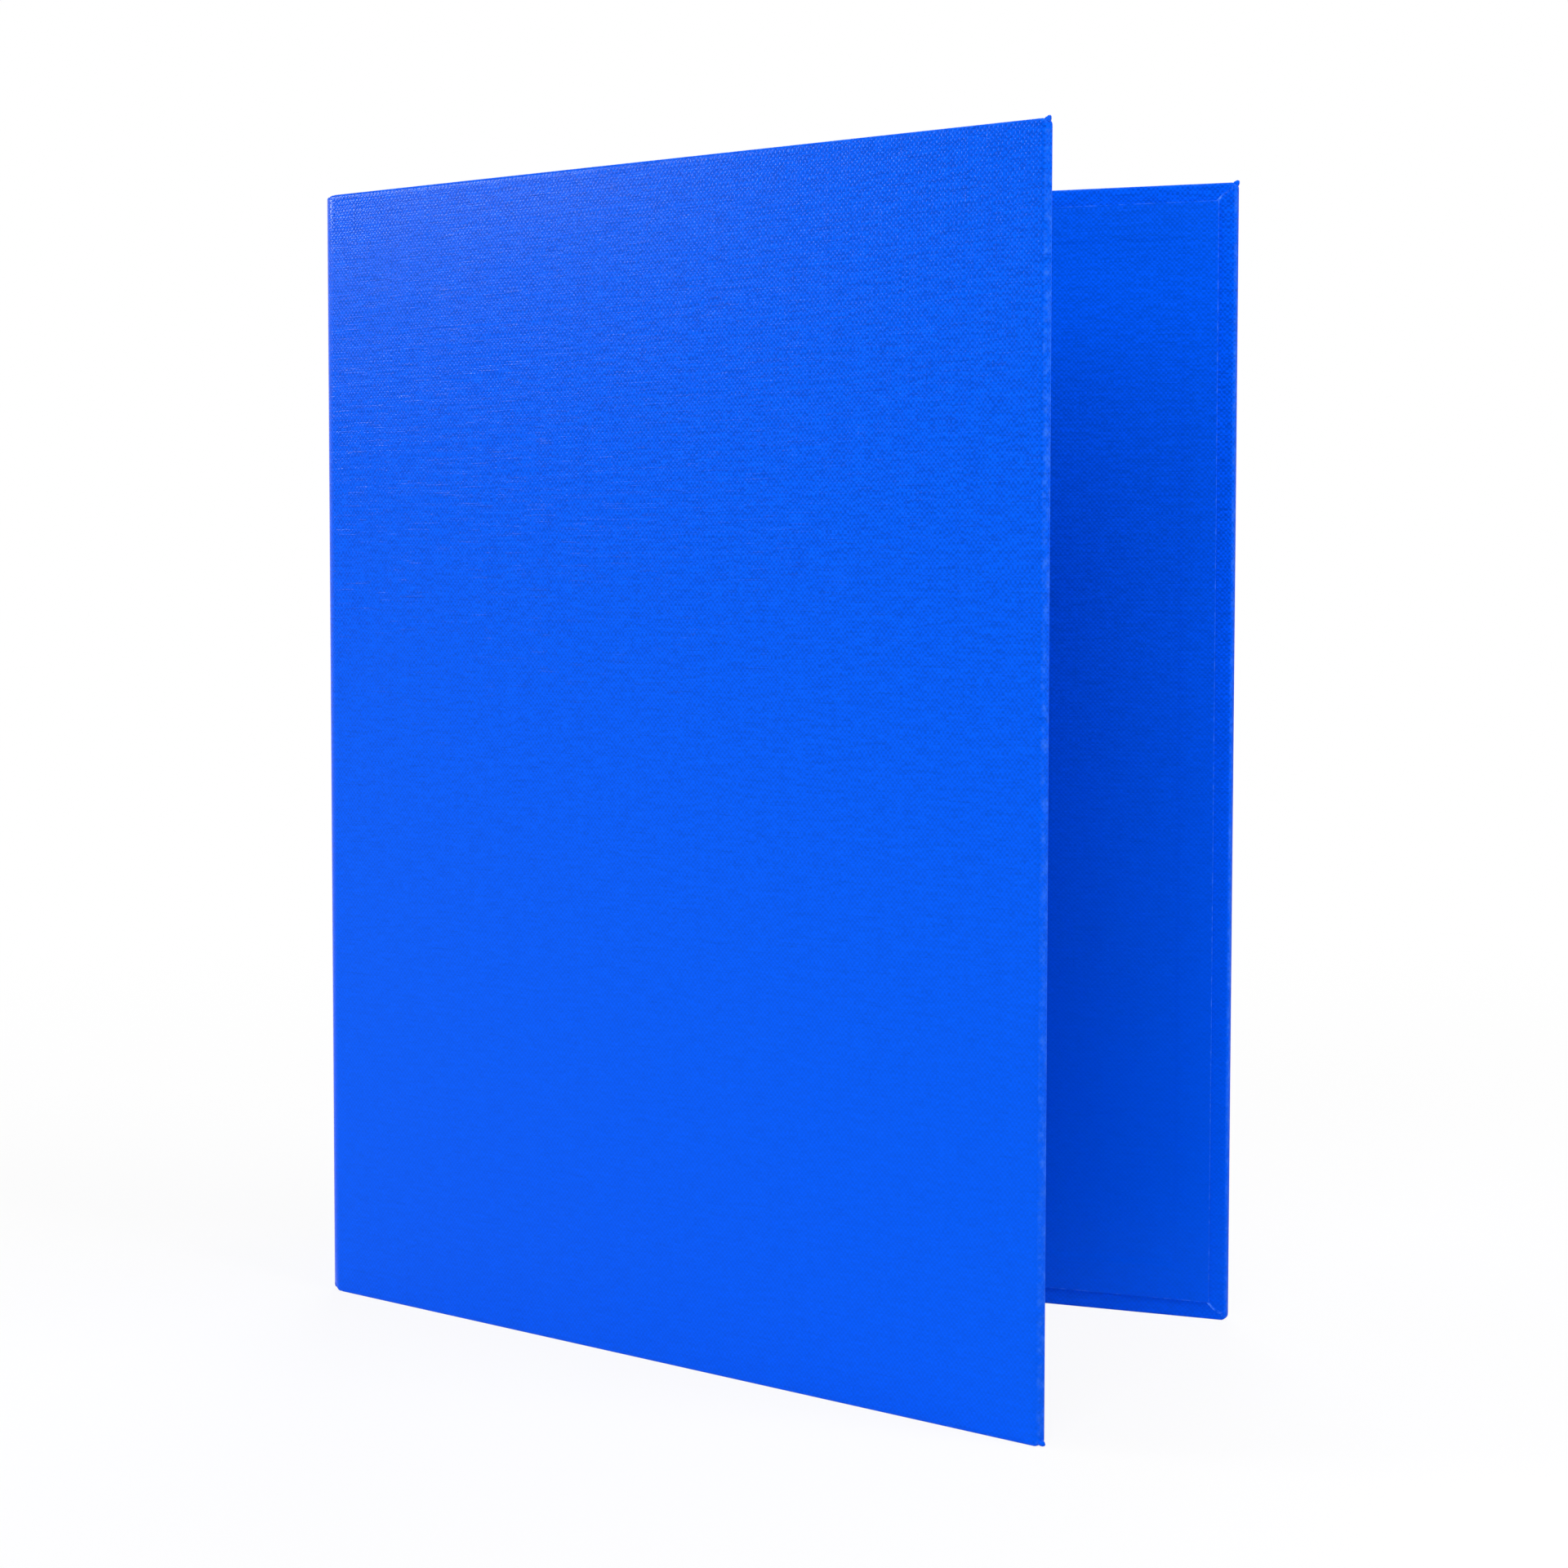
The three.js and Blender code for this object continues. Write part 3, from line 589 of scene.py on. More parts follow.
def edge_rings(draft, sheet, stations):
    """Rows of points round an edge, from the outer face to the inner one."""
    rings = [[station[-1] for station in stations]]
    for level in range(2 * EDGE_STEPS + 2):
        ring = []
        for x, z, across, along, thickness, _ in stations:
            profile = edge_profile(thickness)
            inset, depth, length, mark = profile[level]
            reach = length - profile[0][0]
            flat = sheet(x + across * reach, z + along * reach)
            ring.append(draft.point((x - across * inset, depth, z - along * inset), flat, mark))
        rings.append(ring)
    return rings


def flap_dip(depth):
    return FLAP_DIP if depth > FLAP_END + 0.1 else 0.0


def flap_row(draft, sheet, columns, depth, is_cover, is_head):
    """A row of the flap inside a panel's head or foot; a cover's rows shorten along the mitre."""
    reach = past_edge(depth)
    row = []
    for x in columns:
        place = x
        if is_cover and x > PANEL_START:
            share = (x - PANEL_START) / (COVER_WIDTH - CORNER_RADIUS - PANEL_START)
            place = PANEL_START + share * (COVER_WIDTH - depth - PANEL_START)
        thickness, drop = roll_off(beyond_board(place, is_cover))
        z = max(depth, drop + 1)
        where = (place, thickness - flap_dip(depth), CASE_HEIGHT - z if is_head else z)
        row.append(draft.point(where, sheet(place, CASE_HEIGHT + reach if is_head else -reach)))
    return row


def wrapped_cover(name, place, sheet, replaced):
    """A cover's covering: outer face, round its three free edges, and the turned-in flaps."""
    draft = Draft(place)
    columns = panel_columns(True)
    low_rows = [CORNER_RADIUS, CORNER_RADIUS + CUT_EDGE]
    low_rows += spread(CORNER_RADIUS + 1, CORNER_RADIUS + 6, 5)
    high_rows = [CASE_HEIGHT - z for z in reversed(low_rows)]
    rows = low_rows[:-1] + spread(low_rows[-1], high_rows[0], PANEL_STEPS) + high_rows[1:]
    grid = sheet_grid(draft, columns, rows, nought, sheet)
    free_edge = grid[-1]
    stations = edge_stations(grid, columns, True, False) + corner_stations(False, free_edge[0])
    stations += [(COVER_WIDTH, z, 1.0, 0.0, WRAPPED, first) for z, first in zip(rows, free_edge)]
    stations += corner_stations(True, free_edge[-1]) + edge_stations(grid, columns, True, True)[::-1]
    rings = edge_rings(draft, sheet, stations)
    draft.bands(rings)
    turned_in_flaps(draft, sheet, columns, rows, rings[-1])
    return draft.piece(name, "covering", foil, replaced, outward=OUTSIDE, thicken=FOIL_SHEET)


def turned_in_flaps(draft, sheet, columns, rows, ring):
    """The three flaps inside a cover, with the free edge's flap over the other two at the mitres."""
    corner = len(columns) + CORNER_STEPS // 2
    for is_head, previous in ((False, ring[:corner]), (True, ring[-corner:][::-1])):
        for depth in COVER_FLAP:
            row = flap_row(draft, sheet, columns, depth, True, is_head)
            draft.band(previous, row + [row[-1]] * (len(previous) - len(row)))
            previous = row

    previous = ring[corner - 1 : 1 - corner]
    cut_edges = (0, 1, len(rows) - 2, len(rows) - 1)
    for depth in COVER_FLAP:
        row = []
        grown = ease((depth - CORNER_RADIUS) / MITRE_RUN)
        low = depth - MITRE_OVERLAP * grown
        for index, z in enumerate(rows):
            # The mitre's cut edges are marked for lightening: the foil's pale core, with a painted highlight.
            mark = MITRE_CORE_AND_HIGHLIGHT if index in cut_edges else 0.0
            share = (z - CORNER_RADIUS) / (CASE_HEIGHT - 2 * CORNER_RADIUS)
            place = low + share * (CASE_HEIGHT - 2 * low)
            near = min(place, CASE_HEIGHT - place) - depth
            lift = MITRE_LIFT * grown * (1 - ease(near / MITRE_RAMP))
            where = (COVER_WIDTH - depth, WRAPPED + FLAP_LIFT + lift - flap_dip(depth), place)
            row.append(draft.point(where, sheet(COVER_WIDTH + past_edge(depth), place), mark))
        extra = (len(previous) - len(row)) // 2
        draft.band(previous, [row[0]] * extra + row + [row[-1]] * extra)
        previous = row


def spine_wrap():
    """The spine's covering: outer face with the finger hole, and the flaps at the head and foot."""
    draft = Draft(SPINE)
    columns = panel_columns(False)
    rows = spine_rows(CORNER_RADIUS, CASE_HEIGHT - CORNER_RADIUS)
    grid = sheet_grid(draft, columns, rows, nought, spine_sheet, has_hole=True)
    for is_head in (False, True):
        rings = edge_rings(draft, spine_sheet, edge_stations(grid, columns, False, is_head))
        for depth in SPINE_FLAP:
            rings.append(flap_row(draft, spine_sheet, columns, depth, False, is_head))
        draft.bands(rings)
    replaced = ("spine_covering",)
    return draft.piece("spine_wrap", "covering", foil, replaced, outward=OUTSIDE, thicken=FOIL_SHEET)


def liner_height(is_cover):
    """The liner's surface over a panel: sunk past the turned-in covering, and rolled at hinges."""

    def height(x, z):
        inside = [z - TURN_IN, CASE_HEIGHT - TURN_IN - z]
        if is_cover:
            inside.append(COVER_WIDTH - TURN_IN - x)
        sunk = LINER_DIP * ease(min(inside) / LINER_STEP + 0.5)
        share = min(1.0, max(0.0, beyond_board(x, is_cover) / ROLL))
        return LINER_ROOT + (LINER_FACE - sunk - LINER_ROOT) * math.sqrt(1 - share * share)

    return height


def with_steps(lines, edges):
    """The same lines with a few more round each place where the liner steps down."""
    extra = [edge + shift for edge in edges for shift in LINER_STEP_LINES]
    kept = [line for line in lines if all(abs(line - edge) > LINER_STEP_CLEAR for edge in edges)]
    return sorted(kept + extra)


def lining(name, place, sheet, is_cover, replaced):
    draft = Draft(place)
    low, high = LINER_MARGIN, CASE_HEIGHT - LINER_MARGIN
    free_edge = COVER_WIDTH - LINER_MARGIN

    # Marks the liner's cut edges for lightening: the foil's pale core, with a painted highlight.
    def mark(x, z):
        at_free_edge = is_cover and x > free_edge - CUT_EDGE / 2
        return 1.0 if at_free_edge or min(z - low, high - z) < CUT_EDGE / 2 else 0.0

    columns = panel_columns(is_cover)
    rows = spread(low, high, LINER_STEPS) if is_cover else spine_rows(low, high)
    if is_cover:
        columns = [x for x in columns if x < free_edge - 1]
        columns = with_steps(columns + [free_edge - CUT_EDGE, free_edge], [COVER_WIDTH - TURN_IN])
    rows = with_steps(rows, [TURN_IN, CASE_HEIGHT - TURN_IN])
    rows = [low, low + CUT_EDGE] + rows[1:-1] + [high - CUT_EDGE, high]
    sheet_grid(draft, columns, rows, liner_height(is_cover), sheet, not is_cover, mark)
    return draft.piece(name, "liner", liner, (replaced,), outward=INSIDE, thicken=LINER_SHEET)


# The flexible folds over the hinges

def fold_section():
    """Round a fold from foot to head and back: height, depth, and edge mark."""
    edge = edge_profile(FOLD_EDGE)
    foot = [(ROLL_DROP + inset, depth, mark) for inset, depth, _, mark in reversed(edge)]
    head = [(CASE_HEIGHT - ROLL_DROP - inset, depth, mark) for inset, depth, _, mark in edge]
    outer = [(z, 0.0, 0.0) for z in spread(foot[-1][0], head[0][0], PANEL_STEPS)[1:-1]]
    turn_in, liner_edge = LINER_MARGIN - FOLD_BARE[0], LINER_MARGIN + FOLD_BARE[1]
    inner = [(z, FOLD_SHEET, 0.0) for z in spread(CASE_HEIGHT - liner_edge, liner_edge, PANEL_STEPS)]
    inner = [(CASE_HEIGHT - turn_in, FOLD_EDGE, 0.0)] + inner + [(turn_in, FOLD_EDGE, 0.0)]
    return foot + outer + head + inner


def fold_dip(z, share, dips):
    """How far the fold's edge is drawn in at a share of the way across it."""
    from_foot = dips[0] * (1 - ease(z / FOLD_DIP_RUN))
    from_head = dips[1] * (1 - ease((CASE_HEIGHT - z) / FOLD_DIP_RUN))
    return (from_foot - from_head) * math.sin(math.pi * share) ** FOLD_DIP_POWER


def fold(name, cover, place, sheet, replaced):
    """The covering and liner, glued together, bent from the spine's board to a cover's."""
    is_back = cover == "back_cover"
    across = (place.to_3x3() @ Vector((1, 0, 0))).normalized()
    towards_spine = spine_along if is_back else -spine_along
    angle = across.angle(towards_spine)
    radius = FOLD_REACH * math.tan(angle / 2)
    dips = FOLD_DIPS[::-1] if is_back else FOLD_DIPS
    draft = Draft(place)
    rows = []
    for share in spread(0.0, 1.0, FOLD_STEPS):
        turn = -math.pi / 2 - (math.pi - angle) * share
        row = []
        for z, depth, mark in fold_section():
            reach = radius - depth
            x, y = FOLD_REACH + reach * math.cos(turn), radius + reach * math.sin(turn)
            flat = sheet(FOLD_REACH * (1 - 2 * share), z)
            row.append(draft.point((x, y, z + fold_dip(z, share, dips)), flat, mark))
        rows.append(row)
    draft.tube(rows)
    piece = draft.piece(name, "covering", foil, (replaced,))
    reach = FOLD_REACH * MM
    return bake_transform(piece)


# The tucks at the free corners

def tuck(name, place, sheet, is_head, lean, rise, body):
    """A pinched fold of covering that stands a little proud of a cover's corner."""
    draft = Draft(place)
    side = 1.0 if is_head else -1.0
    corner = (COVER_WIDTH - CORNER_RADIUS, CASE_HEIGHT - CORNER_RADIUS if is_head else CORNER_RADIUS)
    rows = []
    for step, depth in enumerate(spread(TUCK_START, TUCK_END, TUCK_ROWS)):
        share = step / TUCK_ROWS
        swell = math.sin(math.pi * share) ** TUCK_SWELL if 0 < share < 1 else 0.0
        middle = math.pi / 4 + TUCK_LEAN * (lean + TUCK_TWIST * (share - 0.5))
        width = TUCK_WIDTH * (TUCK_NARROWEST + (1 - TUCK_NARROWEST) * swell)
        row = []
        for index in range(TUCK_SIDES):
            turn = 2 * math.pi * index / TUCK_SIDES
            tip = 0.5 + 0.5 * math.cos(turn)
            out = TUCK_ROOT + tip * rise * swell
            along = middle + width * math.sin(turn) * (1 - (1 - TUCK_TIP) * tip) / TUCK_BEND
            x = corner[0] + out * math.cos(along)
            z = corner[1] + side * out * math.sin(along)
            row.append(draft.point((x, depth, z), sheet(x, z + depth), TUCK_WEAR))
        rows.append(row)
    draft.tube(rows)
    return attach(draft.piece(name, "covering", foil), body)


# Turned, swept and sheet-metal shapes

def turned(draft, outline, around=Matrix.Identity(4)):
    """Faces of a turned shape about y, from (radius, height) points that end on the axis or close."""
    rows = []
    for radius, height in outline:
        if radius == 0:
            rows.append([draft.point(around @ Vector((0, height, 0)))])
            continue
        row = []
        for index in range(ROUND_SIDES):
            turn = 2 * math.pi * index / ROUND_SIDES
            place = Vector((radius * math.cos(turn), height, radius * math.sin(turn)))
            row.append(draft.point(around @ place))
        rows.append(row)
    if outline[0][0] > 0 and outline[-1][0] > 0:
        rows.append(rows[0])
    draft.bands(rows, closed=True)


def dome_points(radius, foot, rise):
    """A domed head's outline from its rim to the axis, with a soft rim."""
    rim = arc_points((radius - DOME_LIP, foot + DOME_LIP), DOME_LIP, -90, 20, 4)
    edge, low = rim[-1]
    crown = []
    for step in range(1, DOME_STEPS + 1):
        share = step / DOME_STEPS
        height = low + (rise - low + foot) * math.sin(share * math.pi / 2)
        crown.append((edge * (1 - share), height))
    return rim + crown


def bent_path(corners):
    """Points of a wire bent in a plane, from its corners and their bend radii."""
    points = [Vector(corners[0][:2])]
    for index in range(1, len(corners) - 1):
        corner = Vector(corners[index][:2])
        into = (corner - Vector(corners[index - 1][:2])).normalized()
        out = (Vector(corners[index + 1][:2]) - corner).normalized()
        turn = into.angle(out)
        radius = corners[index][2]
        start = corner - into * radius * math.tan(turn / 2)
        towards = (out - into * math.cos(turn)).normalized()
        for angle in spread(0.0, turn, BEND_STEPS):
            ahead, aside = radius * math.sin(angle), radius * (1 - math.cos(angle))
            points.append(start + into * ahead + towards * aside)
    points.append(Vector(corners[-1][:2]))
    return points


def swept_wire(draft, points, height, start_collars, end_collars):
    """A round wire along points in the x-y plane, with collars (distance past the end, radius)."""
    first = (points[0] - points[1]).normalized()
    last = (points[-1] - points[-2]).normalized()
    between = [(after - before).normalized() for before, after in zip(points, points[2:])]
    stations = [(points[0] + first * beyond, radius, -first) for beyond, radius in start_collars[::-1]]
    for point, tangent in zip(points, [-first] + between + [last]):
        stations.append((point, RING_WIRE / 2, tangent))
    stations += [(points[-1] + last * beyond, radius, last) for beyond, radius in end_collars]
    rows = []
    for point, radius, tangent in stations:
        normal = Vector((-tangent.y, tangent.x))
        row = []
        for index in range(WIRE_SIDES):
            turn = 2 * math.pi * index / WIRE_SIDES
            place = point + normal * radius * math.cos(turn)
            row.append(draft.point((place.x, place.y, height + radius * math.sin(turn))))
        rows.append(row)
    draft.tube(rows)


def soft_box(draft, low, high, soft):
    """A box with its edges broken by a small chamfer."""
    middle = Vector([(a + b) / 2 for a, b in zip(low, high)])
    half = [(b - a) / 2 for a, b in zip(low, high)]
    work = bmesh.new()
    bmesh.ops.create_cube(work, size=2)
    for vert in work.verts:
        vert.co = Vector([vert.co[axis] * half[axis] for axis in range(3)])
    options = {"segments": 2, "profile": 0.5, "affect": "EDGES", "clamp_overlap": True}
    bmesh.ops.bevel(work, geom=work.edges[:], offset=soft, **options)
    base = len(draft.points)
    work.verts.ensure_lookup_table()
    for vert in work.verts:
        draft.point(vert.co + middle)
    for face in work.faces:
        draft.faces.append([base + vert.index for vert in face.verts])
    work.free()


def nickelled(draft, name, replaced):
    return draft.piece(name, "nickel", nickel, (replaced,))


# The finger ring

def finger_ring():
    clear = FINGER_HOLE / 2
    flange = clear + FINGER_FLANGE
    barrel = clear + FINGER_BARREL
    foot = -GLUE_LINE - FINGER_FLANGE_SHEET
    washer_foot = LINER_FACE + GLUE_LINE
    washer_top = washer_foot + FINGER_WASHER
    lip_foot = washer_top + GLUE_LINE / 2
    lip_top = lip_foot + FINGER_BARREL + 0.1
    place = SPINE @ Matrix.Translation((SPINE_WIDTH / 2, 0, FINGER_HEIGHT))

    eyelet = Draft(place)
    soft = FINGER_FLANGE_SHEET * 0.6
    mouth, roll, lip = FINGER_MOUTH, FINGER_ROLL, FINGER_LIP_SOFT
    outline = arc_points((clear + mouth, foot + mouth), mouth, 180, 270)
    outline += arc_points((flange - soft, foot + soft), soft, 270, 360)
    outline += [(flange, -GLUE_LINE), (barrel, -GLUE_LINE), (barrel, lip_foot)]
    outline += [(barrel + FINGER_LIP - 0.2, lip_foot)]
    outline += arc_points((barrel + FINGER_LIP - lip, lip_foot + lip), lip, -60, 90)
    outline += arc_points((clear + roll, lip_top - roll), roll, 90, 180)
    turned(eyelet, outline)
    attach(nickelled(eyelet, "finger_eyelet", "finger_ring_eyelet"), "spine")

    washer = Draft(place)
    inner = barrel + FINGER_SEAM
    half = FINGER_WASHER / 2
    outline = [(inner, washer_foot), (flange - FINGER_WASHER_SHY, washer_foot)]
    outline += arc_points((flange - half, washer_foot + half), half, -30, 90)
    outline += [(inner, washer_top)]
    turned(washer, outline)
    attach(nickelled(washer, "finger_washer", "finger_ring_washer"), "spine")


# The label pocket

def label_pocket():
    middle = SPINE_WIDTH / 2
    left, right = middle - POCKET_WIDTH / 2, middle + POCKET_WIDTH / 2
    head = POCKET_FOOT + POCKET_HEIGHT
    clear = POCKET_WELD + POCKET_RAMP
    film = Draft(SPINE)
    notch = [middle - POCKET_NOTCH * math.cos(turn) for turn in spread(0, math.pi, POCKET_NOTCH_STEPS)]
    columns = spread(left, left + POCKET_WELD, 3) + spread(left + clear, notch[0], 6)[:-1] + notch
    columns += spread(notch[-1], right - clear, 6)[1:] + spread(right - POCKET_WELD, right, 3)
    rows = spread(POCKET_FOOT, POCKET_FOOT + POCKET_WELD, 3)
    rows += spread(POCKET_FOOT + clear, head, PANEL_STEPS)

    def film_place(x, z):
        side = min(x - left, right - x) - POCKET_WELD
        foot = z - POCKET_FOOT - POCKET_WELD
        swell = POCKET_SWELL * ease(min(side, foot) / POCKET_RAMP)
        bite = math.sqrt(max(0.0, POCKET_NOTCH ** 2 - (x - middle) ** 2)) * POCKET_NOTCH_DEPTH
        share = ease((z - (head - POCKET_NOTCH_RUN)) / POCKET_NOTCH_RUN)
        return x, -GLUE_LINE - POCKET_FILM - swell, z - bite * share

    film.bands([[film.point(film_place(x, z), (x, z)) for z in rows] for x in columns])
    sheet = {"outward": OUTSIDE, "thicken": POCKET_FILM}
    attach(film.piece("pocket_film", "film", clear_film, ("label_pocket",), **sheet), "spine")

    card = Draft(SPINE)
    inset = POCKET_WELD + CARD_PLAY + CARD_CORNER
    low, high = POCKET_FOOT + inset, head - CARD_SHOWING - CARD_CORNER
    outline = []
    corners = ((right - inset, low), (right - inset, high), (left + inset, high), (left + inset, low))
    for index, corner in enumerate(corners):
        outline += arc_points(corner, CARD_CORNER, 90 * index - 90, 90 * index, 5)
    face = -2 * GLUE_LINE - CARD_SHEET
    depths = (face, face + CARD_SHEET)
    card.tube([[card.point((x, depth, z), (x, z)) for x, z in outline] for depth in depths])
    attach(card.piece("pocket_card", "card", card_paper, ("label_card",)), "spine")


# The ring mechanism

def crown_points(half, shoulder, rise):
    shares = [2 * step / CROWN_STEPS - 1 for step in range(CROWN_STEPS + 1)]
    return [(half * share, shoulder + rise * (1 - share ** 2)) for share in shares]


def housing_section():
    """The housing's section, as (across, up) points: outside, and back along the inside."""
    half, hem, inside = HOUSING_HALF, HOUSING_HALF - HEM_WIDTH, HOUSING_HALF - HOUSING_SHEET
    shoulder, rise = HOUSING_SHOULDER, HOUSING_CROWN - HOUSING_SHOULDER
    wall = [(half, SHOULDER_SOFT / 2), (half, shoulder - SHOULDER_SOFT)]
    hem_inside = [
        (hem, HEM_SOFT), (hem, HEM_HEIGHT - HEM_LIP_SOFT),
        (hem + HEM_LIP_SOFT, HEM_HEIGHT), (inside, HEM_HEIGHT),
    ]

    def mirrored(points):
        return [(-across, up) for across, up in reversed(points)]

    right = [(hem + HEM_SOFT, 0.0), (half - HEM_SOFT, 0.0)]
    section = right + wall + crown_points(-half, shoulder, rise)[1:-1] + mirrored(wall) + mirrored(right)
    section += [(-across, up) for across, up in hem_inside]
    return section + crown_points(inside, shoulder - HOUSING_SHEET, rise) + hem_inside[::-1]


def housing():
    """An arched channel with rolled hems, its slots cut with a boolean and its rims broken."""
    end = HOUSING_LENGTH / 2
    body = Draft(MECHANISM)
    body.tube([[body.point((x, y, z)) for x, y in housing_section()] for z in spread(-end, end, 16)])
    piece = nickelled(body, "mechanism_housing", "ring_housing")

    cutter = Draft(MECHANISM)
    radius = RING_WIRE / 2 + SLOT_PLAY
    wall = HOUSING_HALF - HOUSING_SHEET
    for end_side in (-1, 1):
        z = end_side * RING_SPACING / 2
        outline = arc_points((RING_FOOT + SLOT_TRAVEL, z), radius, -90, 90, SLOT_STEPS)
        outline += arc_points((RING_FOOT, z), radius, 90, 270, SLOT_STEPS)
        for side in (-1, 1):
            rows = []
            for y in (HEM_HEIGHT, HOUSING_CROWN + 2 * TOOL_PAST):
                rows.append([cutter.point((side * x, y, along)) for x, along in outline])
            cutter.tube(rows)
        low, high = sorted((end_side * (end - HEM_END), end_side * (end + TOOL_PAST)))
        soft_box(cutter, (-wall, -TOOL_PAST, low), (wall, HEM_HEIGHT + HEM_PLAY, high), TOOL_SOFT)
    tool = put_in_scene("slot_tool", cutter.mesh("slot_tool"))
    cut = piece.modifiers.new("slots", "BOOLEAN")
    cut.object = tool
    cut.solver = "EXACT"
    soft = piece.modifiers.new("rims", "BEVEL")
    soft.width = HOUSING_SOFT * MM
    soft.segments = 2
    soft.limit_method = "ANGLE"
    soft.angle_limit = math.radians(50)
    settle(piece)
    bpy.data.objects.remove(tool)
    soften_shading(piece.data)
    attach(piece, "back_cover")


def ring_foot_collars():
    """The reduced pin through the carrier plate and its riveted head, past the wire's foot."""
    slope = math.tan(PLATE_TILT)
    rise = PLATE_SHEET / 2 / math.cos(PLATE_TILT)
    wire, pin, head = RING_WIRE / 2, FOOT_PIN / 2, FOOT_HEAD / 2
    wire_foot = PIVOT_HEIGHT - (PLATE_REACH - RING_FOOT - wire) * slope + rise + FOOT_SHOULDER
    head_top = PIVOT_HEIGHT - (PLATE_REACH - RING_FOOT + head) * slope - rise - GLUE_LINE
    length = wire_foot - head_top
    under, down, inwards = FOOT_HEAD_SOFT
    collars = [
        (FOOT_SOFT, wire - FOOT_SOFT),
        (FOOT_SOFT, pin),
        (length, pin),
        (length, head - under),
        (length + under, head),
        (length + FOOT_HEAD_SHEET - down, head),
        (length + FOOT_HEAD_SHEET, head - inwards),
    ]
    return wire_foot, collars


def rings():
    wire_foot, foot_collars = ring_foot_collars()
    wire = RING_WIRE / 2
    pin = TIP_PIN / 2
    tip = TIP_GAP / 2 + TIP_SOFT
    post_path = bent_path([
        (RING_FOOT, wire_foot),
        (RING_FOOT, RING_TOP, POST_BEND),
        (tip, RING_TOP),
    ])
    bow_path = bent_path([
        (-RING_FOOT, wire_foot),
        (-RING_FOOT, BOW_KNEE, BOW_KNEE_BEND),
        (-RING_BOW, BOW_KNEE + BOW_SLOPE, BOW_FOOT_BEND),
        (-RING_BOW, RING_TOP, BOW_HEAD_BEND),
        (-tip, RING_TOP),
    ])
    pin_end = TIP_SOFT + TIP_PIN_LENGTH
    rim = [(TIP_ROUND[0], wire - TIP_ROUND[1]), (TIP_SOFT, wire - TIP_SOFT)]
    post_tip = rim + [(TIP_SOFT, pin), (pin_end - TIP_PIN_SOFT, pin), (pin_end, pin - TIP_SOFT)]
    bow_tip = rim + [(TIP_SOFT, pin + TIP_SOFT), (-TIP_PIN_LENGTH, pin + TIP_SOFT)]
    for level, side in (("upper", -1), ("lower", 1)):
        for half, path, tip_collars in (("post", post_path, post_tip), ("bow", bow_path, bow_tip)):
            draft = Draft(MECHANISM)
            swept_wire(draft, path, side * RING_SPACING / 2, foot_collars, tip_collars)
            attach(nickelled(draft, f"{level}_{half}", f"{level}_ring_{half}"), f"{half}_side")


def rivets():
    crown = HOUSING_CROWN + GLUE_LINE
    back = LINER_FACE + 2 * GLUE_LINE
    shank = RIVET_SHANK / 2
    lower = [(radius, -height) for radius, height in dome_points(RIVET_BACK / 2, back, RIVET_BACK_RISE)]
    outline = lower[::-1] + [(shank, -back), (shank, crown)]
    outline += dome_points(RIVET_HEAD / 2, crown, RIVET_HEAD_RISE)
    for level, side in (("upper", -1), ("lower", 1)):
        place = Matrix.Translation((0, 0, side * (HOUSING_LENGTH / 2 - RIVET_INSET)))
        rivet = Draft(MECHANISM @ place)
        turned(rivet, outline)
        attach(nickelled(rivet, f"{level}_rivet", f"{level}_housing_rivet"), "back_cover")


def strip_section(half_width, half_sheet):
    """A flat bar's section with rounded corners, as (across, up) points."""
    soft = min(STRIP_SOFT, half_sheet * 0.95, half_width * 0.95)
    points = []
    for across, up, start in ((1, 1, 0), (-1, 1, 90), (-1, -1, 180), (1, -1, 270)):
        centre = (across * (half_width - soft), up * (half_sheet - soft))
        points += arc_points(centre, soft, start, start + 90, 3)
    return points


def lever_strip(draft):
    """The neck, bend and tab of a lever in one strip, with the tab's corners rounded."""
    tab = (LEVER_NECK + LEVER_TAB * math.cos(LEVER_LEAN), LEVER_RISE + LEVER_TAB * math.sin(LEVER_LEAN))
    path = bent_path([LEVER_ROOT, (LEVER_NECK, LEVER_RISE, LEVER_BEND), tab])
    fine = []
    for start, end in zip(path, path[1:]):
        pieces = max(1, round((end - start).length / LEVER_GRAIN))
        fine += spread(start, end, pieces)[:-1]
    fine.append(path[-1])
    lengths = [(after - before).length for before, after in zip(fine, fine[1:])]
    corner = LEVER_TAB_CORNER
    rows = []
    for index, point in enumerate(fine):
        after, before = fine[min(index + 1, len(fine) - 1)], fine[max(index - 1, 0)]
        tangent = (after - before).normalized()
        normal = Vector((-tangent.y, tangent.x))
        left = sum(lengths[index:])
        bite = corner - math.sqrt(max(0.0, corner ** 2 - max(0.0, corner - left) ** 2))
        half_sheet = LEVER_SHEET / 2 * min(1.0, LEVER_LIP_SHARE + left / LEVER_LIP)
        row = []
        for across, up in strip_section(LEVER_HALF - bite, half_sheet):
            spot = point + normal * up
            row.append(draft.point((across, spot.y, spot.x)))
        rows.append(row)
    draft.tube(rows)


